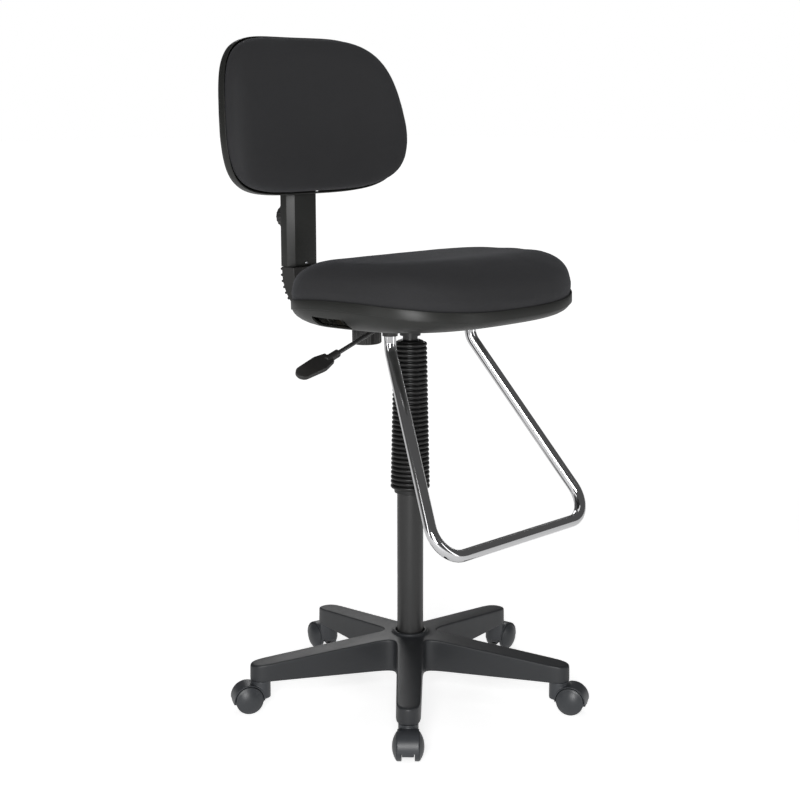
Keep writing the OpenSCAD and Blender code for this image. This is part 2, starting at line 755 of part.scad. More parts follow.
// The ribbed boot over the bend: a flared mouth under the seat, a bent sleeve and a straight top
module bar_boot() {
    mouth_y = 169;
    mouth_low = -26;
    mouth_top = 4;
    rib_step = 8;
    module sleeve(inset, past) {
        top_z = cover_bottom_z - join + past;
        side_plate(boot_w - 2 * inset, concat(
            [seat_point(mouth_y - past, mouth_low + inset)], bend_points(boot_r - inset),
            [[bend_c_y + boot_r - inset, top_z], [bend_c_y + boot_in_r + inset, top_z]],
            reversed(bend_points(boot_in_r + inset)), [seat_point(mouth_y - past, mouth_top - inset)]));
    }
    module rib(angle) {
        translate([-boot_w / 2, bend_c_y, bend_c_z]) rotate([0, 90, 0]) rotate([0, 0, angle])
            rotate_extrude(angle = 3, $fn = fine) translate([boot_r - 1, 0]) square([boot_rib + 1, boot_w]);
    }
    color([0.08, 0.08, 0.08]) difference() {
        union() {
            sleeve(0, 0);
            for (i = [0:4]) rib(82.5 - i * rib_step);
            translate([-boot_w / 2, bend_c_y + boot_r - 1, cover_bottom_z - 7]) cube([boot_w, boot_rib + 1, 4.5]);
        }
        sleeve(boot_wall, 1);
    }
}

// The cover round the upright bar: closed in front, slotted behind for the height knob's stud
module upright_cover() {
    height = cover_top_z - cover_bottom_z;
    chamfer = 12;
    color([0.12, 0.12, 0.125]) difference() {
        translate([0, 0, cover_bottom_z]) linear_extrude(height)
            polygon([[-cover_w / 2, cover_back], [-cover_w / 2, cover_front + chamfer],
                     [-cover_w / 2 + chamfer, cover_front], [cover_w / 2 - chamfer, cover_front],
                     [cover_w / 2, cover_front + chamfer], [cover_w / 2, cover_back]]);
        translate([cover_wall - cover_w / 2, cover_front + chamfer, cover_bottom_z - 1])
            cube([cover_w - 2 * cover_wall, cover_back - cover_front - chamfer - cover_wall, height + 2]);
        translate([chamfer - cover_w / 2, cover_front + cover_wall, cover_bottom_z - 1])
            cube([cover_w - 2 * chamfer, chamfer, height + 2]);
        slot_y(6, cover_back - 6, 12, height_knob_z - back_height_travel, height_knob_z + back_height_travel);
    }
}

// ---- back ----

module back_bolt_places() {
    for (z = [0, 40]) translate([0, 0, back_bottom_z + 93 + z]) children();
}

// A flat steel bar behind the board, standing off it on two bosses
module back_bracket() {
    color([0.13, 0.13, 0.14]) difference() {
        union() {
            translate([-bracket_w / 2, bracket_y, height_knob_z - 24])
                cube([bracket_w, bracket_t, back_bottom_z + 148 - height_knob_z + 24]);
            difference() {
                back_bolt_places() rod_y(9, back_y, bracket_y - back_y + 1);
                back_frame() back_slice(0, -80, back_board_t);
            }
        }
        translate([0, 0, height_knob_z]) rod_y(4 + fit, bracket_y - 1, bracket_t + 2);
        back_bolt_places() rod_y(bolt_d / 2 + 0.3, back_y - 20, 80);
    }
}

module back_bolts() {
    color([0.5, 0.5, 0.52]) difference() {
        back_bolt_places() {
            rod_y(bolt_d / 2, bracket_y + bracket_t - 24, 24);
            rod_y(head_d / 2, bracket_y + bracket_t, 4);
        }
        // the shanks stop inside the board
        back_frame() translate([-60, -100, -50]) cube([120, 100 + 1.5, back_h + 100]);
    }
}

module height_knob() {
    color([0.1, 0.1, 0.1]) translate([0, 0, height_knob_z]) {
        rod_y(4, bracket_y - 3, knob_face_y - bracket_y + 4);
        rod_y(9, cover_back + 0.6, knob_face_y - cover_back);
        rod_y(height_knob_d / 2, knob_face_y, 22);
        rod_y(height_knob_d / 2 - 3, knob_face_y + 21, 4.5);
    }
}

// The shell: a side wall and a curved back, with a housing behind that clears the upright
module back_shell() {
    house_w = cover_w + 16;
    house_h = 116;
    wall = shell_wall;
    color([0.13, 0.13, 0.135]) difference() {
        union() {
            back_frame() back_slice(0, 0, back_shell_d);
            translate([-house_w / 2, cover_front, back_bottom_z + 4])
                cube([house_w, cover_back - cover_front + 8, house_h]);
        }
        back_frame() back_slice(wall, -60, back_shell_d - wall);
        translate([wall - house_w / 2, cover_front - 5, back_bottom_z - 20])
            cube([house_w - 2 * wall, cover_back - cover_front + 10, house_h + 20]);
    }
}

module back_board() {
    color([0.6, 0.48, 0.33]) difference() {
        back_frame() back_slice(shell_wall + 1, 0, back_board_t - 0.1);
        back_bolt_places() rod_y(bolt_d / 2 + fit, bracket_y - 24, 60);
        translate([-bracket_w / 2 - gap, bracket_y - gap, back_bottom_z])
            cube([bracket_w + 2 * gap, bracket_t + 20, 148 + gap]);
    }
}

module back_cushion() {
    color([0.11, 0.11, 0.12]) back_frame() {
        back_slice(0, -14, -gap);
        back_slice(7, -0.7 * back_pad_h, -13);
        back_slice(24, -back_pad_h, -0.6 * back_pad_h);
    }
}

for (n = [1:legs]) {
    caster_hood(n);
    caster_stem(n);
    caster_axle(n);
    caster_wheel(n, 1);
    caster_wheel(n, -1);
}
base_spider();
column_tube();
column_bush();
thrust_race_lower();
thrust_balls();
bellows();
piston_rod();
piston();
thrust_race_upper();
rod_clip();
gas_cylinder();
cylinder_gland();
valve_pin();
taper_socket();
mechanism_box();
seat_bolts();
lever_bracket();
lever_pivot();
lever_rod();
lever_paddle();
seat_shell();
seat_board();
seat_cushion();
depth_knob();
footrest_tube();
footrest_brackets();
height_knob();
back_bar();
bar_boot();
upright_cover();
back_bracket();
back_bolts();
back_shell();
back_board();
back_cushion();
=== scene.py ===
import json
import math
import bmesh
import bpy
import numpy as np
from mathutils import Matrix, Vector


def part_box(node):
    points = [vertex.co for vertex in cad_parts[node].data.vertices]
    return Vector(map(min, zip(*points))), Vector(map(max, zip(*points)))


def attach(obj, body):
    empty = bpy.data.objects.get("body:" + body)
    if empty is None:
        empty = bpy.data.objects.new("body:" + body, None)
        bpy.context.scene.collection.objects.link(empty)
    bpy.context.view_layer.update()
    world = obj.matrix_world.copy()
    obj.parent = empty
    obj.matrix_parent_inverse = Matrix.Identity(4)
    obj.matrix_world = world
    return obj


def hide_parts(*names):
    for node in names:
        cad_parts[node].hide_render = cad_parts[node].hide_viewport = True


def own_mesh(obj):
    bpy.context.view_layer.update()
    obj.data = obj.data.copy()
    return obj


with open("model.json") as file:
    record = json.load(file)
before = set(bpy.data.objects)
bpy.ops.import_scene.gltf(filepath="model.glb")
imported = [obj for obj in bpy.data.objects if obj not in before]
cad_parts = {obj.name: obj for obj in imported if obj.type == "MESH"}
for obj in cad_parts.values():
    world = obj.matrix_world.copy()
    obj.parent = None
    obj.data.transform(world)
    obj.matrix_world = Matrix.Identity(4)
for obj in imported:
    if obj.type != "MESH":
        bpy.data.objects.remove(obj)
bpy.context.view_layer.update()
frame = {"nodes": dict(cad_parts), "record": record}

mm = 0.001
print("frame loaded,", len(frame["nodes"]), "CAD nodes")


# shader and geometry trees
def operator(operation, reflected=False):
    def apply(self, other):
        pair = (other, self) if reflected else (self, other)
        return self.tree.maths(operation, *pair)
    return apply


class Wire:
    # one output socket that takes part in sums
    def __init__(self, tree, socket):
        self.tree = tree
        self.socket = socket

    def maths(self, operation, *others):
        return self.tree.maths(operation, self, *others)

    __add__, __radd__ = operator("ADD"), operator("ADD", True)
    __sub__, __rsub__ = operator("SUBTRACT"), operator("SUBTRACT", True)
    __mul__, __rmul__ = operator("MULTIPLY"), operator("MULTIPLY", True)
    __truediv__, __rtruediv__ = operator("DIVIDE"), operator("DIVIDE", True)
    __pow__ = operator("POWER")


class Tree:
    # adds nodes to a node tree and links them
    def __init__(self, nodeTree):
        self.nodeTree = nodeTree

    def add(self, kind, settings=None, inputs=None, out=0):
        node = self.nodeTree.nodes.new(kind)
        for key, value in (settings or {}).items():
            if key == "stops":
                ramp = node.color_ramp
                while len(ramp.elements) < len(value):
                    ramp.elements.new(1.0)
                for element, (place, colour) in zip(ramp.elements, value):
                    element.position = place
                    element.color = (*colour, 1.0)
            else:
                setattr(node, key, value)
        for key, value in (inputs or {}).items():
            self.feed(node.inputs[key], value)
        return Wire(self, node.outputs[out])

    def feed(self, socket, value):
        if isinstance(value, Wire):
            self.nodeTree.links.new(value.socket, socket)
        else:
            socket.default_value = value

    def maths(self, operation, *values):
        return self.add("ShaderNodeMath", {"operation": operation}, dict(enumerate(values)))


class Finish(Tree):
    # a material on one Principled shader
    def __init__(self, name, **plain):
        self.material = bpy.data.materials.new(name)
        self.material.use_nodes = True
        super().__init__(self.material.node_tree)
        self.shader = self.nodeTree.nodes["Principled BSDF"]
        for key, value in plain.items():
            self.shader.inputs[key.replace("_", " ")].default_value = value
        self.place = self.add("ShaderNodeTexCoord", out=3)

    def noise(self, scale, detail=2.0, roughness=0.5, vector=None):
        inputs = {"Vector": vector or self.place, "Scale": scale, "Detail": detail, "Roughness": roughness}
        return self.add("ShaderNodeTexNoise", inputs=inputs)

    def stretch(self, scale):
        return self.add("ShaderNodeMapping", inputs={"Vector": self.place, "Scale": scale})

    def shades(self, amount, stops):
        return self.add("ShaderNodeValToRGB", {"stops": stops}, {"Fac": amount})

    def tint(self, amount, first, second):
        node = self.nodeTree.nodes.new("ShaderNodeMix")
        node.data_type = "RGBA"
        for index, value in ((0, amount), (6, first), (7, second)):
            if isinstance(value, tuple) and len(value) == 3:
                value = (*value, 1.0)
            self.feed(node.inputs[index], value)
        return Wire(self, node.outputs[2])

    def bump(self, height, depth, strength=1.0):
        inputs = {"Height": height, "Distance": depth, "Strength": strength}
        node = self.add("ShaderNodeBump", inputs=inputs)
        self.feed(self.shader.inputs["Normal"], node)

    def colour(self, value):
        self.feed(self.shader.inputs["Base Color"], value)

    def rough(self, value):
        self.feed(self.shader.inputs["Roughness"], value)


def grey(level, warm=0.0):
    return (level * (1 + warm), level, level * (1 - warm))


def scaled(tone, factor):
    return tuple(c * factor for c in tone)


def mouldedFinish(name, tone, rough=0.42, grain=1400.0, depth=0.00006, specular=0.5):
    # moulded plastic: a fine grain, faint clouding, and rubbed patches that shine a little more
    finish = Finish(name, Specular_IOR_Level=specular)
    cloud = finish.noise(9.0, 3.0)
    speck = finish.noise(grain, 1.0)
    finish.colour(finish.tint(cloud * 0.7 + speck * 0.3, scaled(tone, 0.82), scaled(tone, 1.18)))
    rubbed = finish.noise(26.0, 4.0, 0.6)
    finish.rough(rough - 0.06 + rubbed * 0.12)
    finish.bump(speck, depth)
    return finish.material


def paintFinish(name, tone, rough=0.3, peel=260.0, depth=0.00004, coat=0.0):
    # sprayed paint: orange peel, slight dust in the lacquer
    finish = Finish(name, Coat_Weight=coat, Coat_Roughness=0.15)
    cloud = finish.noise(7.0, 2.0)
    peelHeight = finish.noise(peel, 2.0)
    finish.colour(finish.tint(cloud, scaled(tone, 0.9), scaled(tone, 1.1)))
    finish.rough(rough - 0.04 + finish.noise(40.0, 3.0) * 0.08)
    finish.bump(peelHeight, depth)
    return finish.material


def rubberFinish(name, tone, rough=0.5):
    # moulded rubber: dull bloom in cloudy patches over a soft sheen
    finish = Finish(name, Specular_IOR_Level=0.45)
    bloom = finish.noise(18.0, 4.0, 0.65)
    pores = finish.noise(900.0, 2.0)
    finish.colour(finish.tint(bloom, tone, tuple(c * 1.7 + 0.004 for c in tone)))
    finish.rough(rough - 0.08 + bloom * 0.2)
    finish.bump(pores, 0.00005)
    return finish.material


def steelFinish(name, tone, rough=0.28):
    # drawn or ground steel: fine lines along one way and a little tarnish
    finish = Finish(name, Metallic=1.0)
    lines = finish.noise(1.0, 2.0, vector=finish.stretch((30.0, 30.0, 900.0)))
    cloud = finish.noise(35.0, 3.0)
    finish.colour(finish.tint(cloud, scaled(tone, 0.88), tone))
    finish.rough(rough - 0.08 + lines * 0.16)
    finish.bump(lines, 0.00002)
    return finish.material


def chromeFinish(name, tone, rough=0.07):
    # polished chrome plate with faint wiping marks
    finish = Finish(name, Metallic=1.0)
    wipe = finish.noise(1.0, 3.0, vector=finish.stretch((140.0, 12.0, 60.0)))
    smudge = finish.noise(16.0, 4.0, 0.6)
    finish.colour(finish.tint(smudge, scaled(tone, 0.93), tone))
    finish.rough(rough - 0.02 + smudge * 0.05 + wipe * 0.03)
    finish.bump(finish.noise(420.0, 1.0), 0.000006)
    return finish.material


def plywoodFinish(name):
    # birch plywood: veneers in layers at the edge, drawn-out grain on the face
    finish = Finish(name)
    layers = finish.add("ShaderNodeTexWave", {"bands_direction": "Z"},
                        {"Vector": finish.place, "Scale": 105.0, "Distortion": 0.6, "Detail": 2.0})
    figure = finish.noise(1.0, 5.0, 0.6, finish.stretch((18.0, 160.0, 18.0)))
    face = finish.shades(figure, [(0.3, (0.42, 0.29, 0.16)), (0.7, (0.62, 0.47, 0.29))])
    finish.colour(finish.tint(layers * 0.35, face, (0.30, 0.19, 0.10)))
    finish.rough(0.62 + figure * 0.1)
    finish.bump(figure, 0.0001)
    return finish.material


clothLook = {
    "threadPitch": 1.5 * mm,
    "tone": (0.026, 0.026, 0.0275),
    "lift": 1.55,
    "rough": 0.82,
    "weaveDepth": 0.00018,
}


def clothFinish(name):
    # fine plain weave laid on by the three planes of the piece, with fuzz and a little sheen
    finish = Finish(name, Sheen_Weight=0.06, Sheen_Roughness=0.45, Specular_IOR_Level=0.25)
    finish.shader.inputs["Sheen Tint"].default_value = (0.80, 0.82, 0.90, 1.0)
    turns = math.pi / clothLook["threadPitch"]
    split = finish.add("ShaderNodeSeparateXYZ", inputs={"Vector": finish.place})
    across = [Wire(finish, split.socket.node.outputs[i]) * turns for i in range(3)]
    waves = [axis.maths("SINE") for axis in across]
    facing = finish.add("ShaderNodeTexCoord", out=1)
    normal = finish.add("ShaderNodeSeparateXYZ", inputs={"Vector": facing})
    weight = [Wire(finish, normal.socket.node.outputs[i]) ** 2 for i in range(3)]
    weave = (waves[0] * waves[1] * weight[2] + waves[0] * waves[2] * weight[1]
             + waves[1] * waves[2] * weight[0])
    fuzz = finish.noise(2600.0, 2.0, 0.7)
    cloud = finish.noise(6.0, 3.0)
    tone = clothLook["tone"]
    dark, light = scaled(tone, 0.72), scaled(tone, clothLook["lift"])
    finish.colour(finish.tint(weave * 0.16 + fuzz * 0.5 + cloud * 0.3, dark, light))
    finish.rough(clothLook["rough"] + fuzz * 0.1)
    finish.bump(weave * 0.5 + fuzz * 0.5, clothLook["weaveDepth"])
    return finish.material


finishes = {
    "base_plastic": mouldedFinish("baseNylon", (0.020, 0.0215, 0.024), 0.44, 1100.0, 0.00007),
    "caster_plastic": mouldedFinish("casterNylon", (0.040, 0.043, 0.048), 0.40, 1300.0),
    "wheel_plastic": mouldedFinish("wheelNylon", (0.034, 0.037, 0.041), 0.38, 1300.0, 0.00005),
    "bright_steel": steelFinish("groundSteel", grey(0.56)),
    "zinc_steel": steelFinish("zincSteel", (0.47, 0.48, 0.50), 0.36),
    "column_paint": paintFinish("columnPaint", grey(0.02), 0.36, 200.0, 0.00005),
    "bush_plastic": mouldedFinish("bushPlastic", grey(0.02), 0.45),
    "bellows_rubber": rubberFinish("bellowsRubber", grey(0.004), 0.34),
    "rod_chrome": chromeFinish("rodChrome", grey(0.62), 0.1),
    "gland_brass": steelFinish("glandBrass", (0.60, 0.44, 0.19), 0.3),
    "frame_paint": paintFinish("framePaint", grey(0.018), 0.42),
    "lever_paint": paintFinish("leverPaint", grey(0.03), 0.22, 160.0, coat=0.3),
    "knob_plastic": mouldedFinish("knobPlastic", grey(0.02, 0.03), 0.42, 900.0, 0.00008),
    "shell_plastic": mouldedFinish("shellPlastic", (0.015, 0.0155, 0.0142), 0.42, 1200.0, specular=0.4),
    "boot_rubber": rubberFinish("bootRubber", grey(0.016, 0.03), 0.45),
    "board_wood": plywoodFinish("birchPly"),
    "cushion_fabric": clothFinish("charcoalCloth"),
    "footrest_chrome": chromeFinish("footrestChrome", (0.70, 0.70, 0.71)),
}
for subpart in frame["record"]["subparts"]:
    slots = frame["nodes"][subpart["node"]].data.materials
    slots.clear()
    slots.append(finishes[subpart["material_slot"]])
print("finishes made")


# mesh helpers
def newPiece(name, points, faces):
    mesh = bpy.data.meshes.new(name)
    mesh.from_pydata([tuple(p) for p in points], [], faces)
    mesh.validate()
    piece = bpy.data.objects.new(name, mesh)
    bpy.context.scene.collection.objects.link(piece)
    return piece


def weld(piece, distance=0.01 * mm):
    # merges doubles and turns every face outwards
    work = bmesh.new()
    work.from_mesh(piece.data)
    bmesh.ops.remove_doubles(work, verts=work.verts, dist=distance)
    bmesh.ops.recalc_face_normals(work, faces=work.faces)
    work.to_mesh(piece.data)
    work.free()


def shade(piece, angle=35.0):
    piece.data.shade_smooth()
    piece.data.set_sharp_from_angle(angle=math.radians(angle))


def settle(piece):
    # modifiers become plain mesh
    graph = bpy.context.evaluated_depsgraph_get()
    mesh = bpy.data.meshes.new_from_object(piece.evaluated_get(graph))
    piece.modifiers.clear()
    piece.data = mesh


def modify(piece, kind, **settings):
    modifier = piece.modifiers.new(kind.title(), kind)
    for key, value in settings.items():
        setattr(modifier, key, value)
    return modifier


def rings(name, rows, caps=(False, False)):
    # skins rows of points into quads; a cap closes a row with a fan about its middle
    count = len(rows[0])
    points = [Vector(p) for row in rows for p in row]
    faces = []
    for i in range(len(rows) - 1):
        for k in range(count):
            n = (k + 1) % count
            faces.append((i * count + k, i * count + n, (i + 1) * count + n, (i + 1) * count + k))
    for capped, row in zip(caps, (0, len(rows) - 1)):
        if capped:
            points.append(sum((Vector(p) for p in rows[row]), Vector()) / count)
            first, middle = row * count, len(points) - 1
            faces += [(first + k, first + (k + 1) % count, middle) for k in range(count)]
    return newPiece(name, points, faces)


def lathe(name, profile, segments=72, matrix=Matrix(), closed=False):
    # turns (radius, height) pairs about Z; closed joins the last pair to the first
    rows = profile + profile[:1] if closed else profile
    turns = [2 * math.pi * k / segments for k in range(segments)]
    piece = rings(name, [[(r * math.cos(a), r * math.sin(a), z) for a in turns] for r, z in rows])
    piece.data.transform(matrix)
    weld(piece, 0.002 * mm)
    return piece


def prism(name, outline, low, high, matrix=Matrix()):
    rows = [[(x, y, z) for x, y in outline] for z in (low, high)]
    count = len(outline)
    points = rows[0] + rows[1]
    faces = [(k, (k + 1) % count, count + (k + 1) % count, count + k) for k in range(count)]
    faces += [tuple(range(count)), tuple(range(count, 2 * count))]
    piece = newPiece(name, points, faces)
    piece.data.transform(matrix)
    weld(piece)
    return piece


def join(name, pieces):
    work = bmesh.new()
    for piece in pieces:
        work.from_mesh(piece.data)
        bpy.data.objects.remove(piece)
    mesh = bpy.data.meshes.new(name)
    work.to_mesh(mesh)
    work.free()
    whole = bpy.data.objects.new(name, mesh)
    bpy.context.scene.collection.objects.link(whole)
    return whole


def nodeCopy(node, name):
    piece = bpy.data.objects.new(name, frame["nodes"][node].data.copy())
    bpy.context.scene.collection.objects.link(piece)
    for attribute in ("custom_normal", "sharp_edge", "sharp_face"):
        if attribute in piece.data.attributes:
            piece.data.attributes.remove(piece.data.attributes[attribute])
    weld(piece)
    return piece


def mouldedCopy(node, name, voxel, smoothing):
    # the CAD solid with its edges softened as a moulding's are
    piece = nodeCopy(node, name)
    modify(piece, "REMESH", mode="VOXEL", voxel_size=voxel)
    modify(piece, "SMOOTH", factor=0.5, iterations=smoothing)
    settle(piece)
    shade(piece, 60.0)
    return piece


def easedCopy(node, name, width, segments=2, angle=30.0):
    # the CAD solid with its flat faces rejoined and its edges eased
    piece = nodeCopy(node, name)
    work = bmesh.new()
    work.from_mesh(piece.data)
    bmesh.ops.dissolve_limit(work, angle_limit=math.radians(1.0), verts=work.verts, edges=work.edges)
    work.to_mesh(piece.data)
    work.free()
    modify(piece, "BEVEL", width=width, segments=segments, limit_method="ANGLE",
           angle_limit=math.radians(angle))
    settle(piece)
    shade(piece)
    return piece


def cut(piece, cutter):
    modify(piece, "BOOLEAN", operation="DIFFERENCE", solver="EXACT", object=cutter)
    settle(piece)
    bpy.data.objects.remove(cutter)


def handOver(piece, body, slot, *nodes):
    piece.data.materials.clear()
    piece.data.materials.append(finishes[slot])
    if nodes:
        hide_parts(*nodes)
    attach(piece, body)


def geometryTree(name, sizes):
    # a geometry tree with named number inputs, and the wires that carry them
    group = bpy.data.node_groups.new(name, "GeometryNodeTree")
    group.interface.new_socket("Geometry", in_out="OUTPUT", socket_type="NodeSocketGeometry")
    for key, value in sizes.items():
        kind = "NodeSocketInt" if isinstance(value, int) else "NodeSocketFloat"
        group.interface.new_socket(key, in_out="INPUT", socket_type=kind).default_value = value
    tree = Tree(group)
    entry = group.nodes.new("NodeGroupInput")
    return tree, {key: Wire(tree, entry.outputs[key]) for key in sizes}


def runTree(tree, geometry, slot, name, sizes):
    # closes the tree, runs it on an empty mesh and keeps the plain result
    group = tree.nodeTree
    real = tree.add("GeometryNodeRealizeInstances", inputs={"Geometry": geometry})
    smooth = tree.add("GeometryNodeSetShadeSmooth", inputs={"Geometry": real})
    painted = tree.add("GeometryNodeSetMaterial", inputs={"Geometry": smooth, "Material": finishes[slot]})
    ending = group.nodes.new("NodeGroupOutput")
    group.links.new(painted.socket, ending.inputs[0])
    piece = newPiece(name, [], [])
    modifier = piece.modifiers.new("Nodes", "NODES")
    modifier.node_group = group
    for item in group.interface.items_tree:
        if item.in_out == "INPUT" and item.name in sizes:
            modifier[item.identifier] = sizes[item.name]
    settle(piece)
    return piece


# camera, light and floor
viewLook = {
    "facing": 47.06,
    "distance": 2.849,
    "height": 1.1247,
    "dip": 10.845,
    "lens": 69.35,
    "shiftX": -0.0128,
    "shiftY": 0.0004,
    "floorHalf": 40.0,
    "floorTone": 0.8,
    "floorGlow": 0.72,
    "fadeFrom": 1.2,
    "fadeTo": 5.0,
    "skyLight": 0.1,
    "aim": (0, 0, 0.7),
    "boxes": {
        "eyeBox": ((-2.9, -2.4, 1.5), (1.1, 1.9), 100.0),
        "frontBox": ((-3.0, 0.4, 1.2), (0.5, 1.8), 8.0),
        "sideBox": ((1.0, -3.1, 1.1), (0.5, 1.8), 9.0),
        "rearBox": ((1.8, 2.2, 1.9), (1.0, 1.6), 14.0),
        "topBox": ((0.5, 0.3, 3.2), (1.4, 1.4), 6.0),
    },
}


def setCamera():
    facing = math.radians(viewLook["facing"])
    camera = bpy.data.objects.new("viewCamera", bpy.data.cameras.new("viewCamera"))
    camera.data.lens = viewLook["lens"]
    camera.data.shift_x = viewLook["shiftX"]
    camera.data.shift_y = viewLook["shiftY"]
    camera.data.clip_end = 100.0
    reach = viewLook["distance"]
    camera.location = (-reach * math.sin(facing), -reach * math.cos(facing), viewLook["height"])
    camera.rotation_euler = (math.radians(90 - viewLook["dip"]), 0.0, -facing)
    bpy.context.scene.collection.objects.link(camera)
    bpy.context.scene.camera = camera


def softbox(name, place, target, size, power):
    lamp = bpy.data.lights.new(name, "AREA")
    lamp.shape = "RECTANGLE"
    lamp.size, lamp.size_y = size
    lamp.energy = power
    holder = bpy.data.objects.new(name, lamp)
    holder.location = place
    holder.rotation_euler = (Vector(target) - Vector(place)).to_track_quat("-Z", "Y").to_euler()
    bpy.context.scene.collection.objects.link(holder)


def setStage():
    half = viewLook["floorHalf"]
    corners = [(-half, -half, 0), (half, -half, 0), (half, half, 0), (-half, half, 0)]
    floor = newPiece("studioFloor", corners, [(0, 1, 2, 3)])
    pale = Finish("paleFloor", Specular_IOR_Level=0.2, Emission_Strength=1.0)
    tone = viewLook["floorTone"]
    pale.colour(pale.tint(pale.noise(3.0, 2.0), grey(tone * 0.99), grey(tone)))
    pale.rough(0.7 + pale.noise(12.0) * 0.1)
    # the floor grows as bright as the sky with distance, so no horizon shows
    away = pale.add("ShaderNodeVectorMath", {"operation": "LENGTH"}, {0: pale.place}, 1)
    rise = pale.add("ShaderNodeMapRange", {"interpolation_type": "SMOOTHSTEP"},
                    {"Value": away, "From Min": viewLook["fadeFrom"], "From Max": viewLook["fadeTo"],
                     "To Min": viewLook["floorGlow"], "To Max": 1.0})
    seen = pale.add("ShaderNodeLightPath")
    pale.feed(pale.shader.inputs["Emission Color"], rise * (seen * 0.45 + 0.55))
    floor.data.materials.append(pale.material)
    world = bpy.data.worlds.new("studio")
    bpy.context.scene.world = world
    bpy.context.scene.view_settings.view_transform = "Standard"
    world.use_nodes = True
    sky = Tree(world.node_tree)
    seen = sky.add("ShaderNodeLightPath")
    ground = world.node_tree.nodes["Background"]
    sky.feed(ground.inputs["Color"], (1.0, 1.0, 1.0, 1.0))
    sky.feed(ground.inputs["Strength"], seen * (1.0 - viewLook["skyLight"]) + viewLook["skyLight"])
    for name, (place, size, power) in viewLook["boxes"].items():
        softbox(name, place, viewLook["aim"], size, power)


setCamera()
setStage()
print("camera, light and floor set")


# star base
starBase = {
    "legs": 5,
    "firstAngle": -137.7,
    "stemRadius": 295.5 * mm,
    "endRadius": 21.5 * mm,
    "rootHalf": 25.0 * mm,
    "underEnd": 60.5 * mm,
    "underRoot": 57.5 * mm,
    "topEnd": 93.5 * mm,
    "topRoot": 121.0 * mm,
    "rootReach": 57.0 * mm,
    "edge": 5.0 * mm,
    "draft": 0.7 * mm,
    "skin": 4.0 * mm,
    "stations": [64, 96, 140, 185, 230, 268],
    "collar": [(28, 109), (28, 126.8), (28.8, 128.2), (31.6, 128.4), (33.2, 127.2), (34.6, 124.2),
               (38, 121.8)],
    "edgeDrop": 0.4 * mm,
    "endDrop": 3.2 * mm,
    "boreRadius": 5.6 * mm,
    "ribPlaces": [73 * mm, 125 * mm, 177 * mm, 229 * mm],
    "ribThick": 2.4 * mm,
    "valley": (44.5 * mm, 49.5 * mm),
}


def between(start, stop, share):
    return start + (stop - start) * share


def legHalf(x):
    return between(starBase["rootHalf"], starBase["endRadius"], x / starBase["stemRadius"])


def legTop(x):
    start, stop = starBase["rootReach"], starBase["stemRadius"]
    return between(starBase["topRoot"], starBase["topEnd"], max(0.0, x - start) / (stop - start))


def legUnder(x):
    share = min(1.0, x / (starBase["stemRadius"] - starBase["endRadius"]))
    return between(starBase["underRoot"], starBase["underEnd"], share)


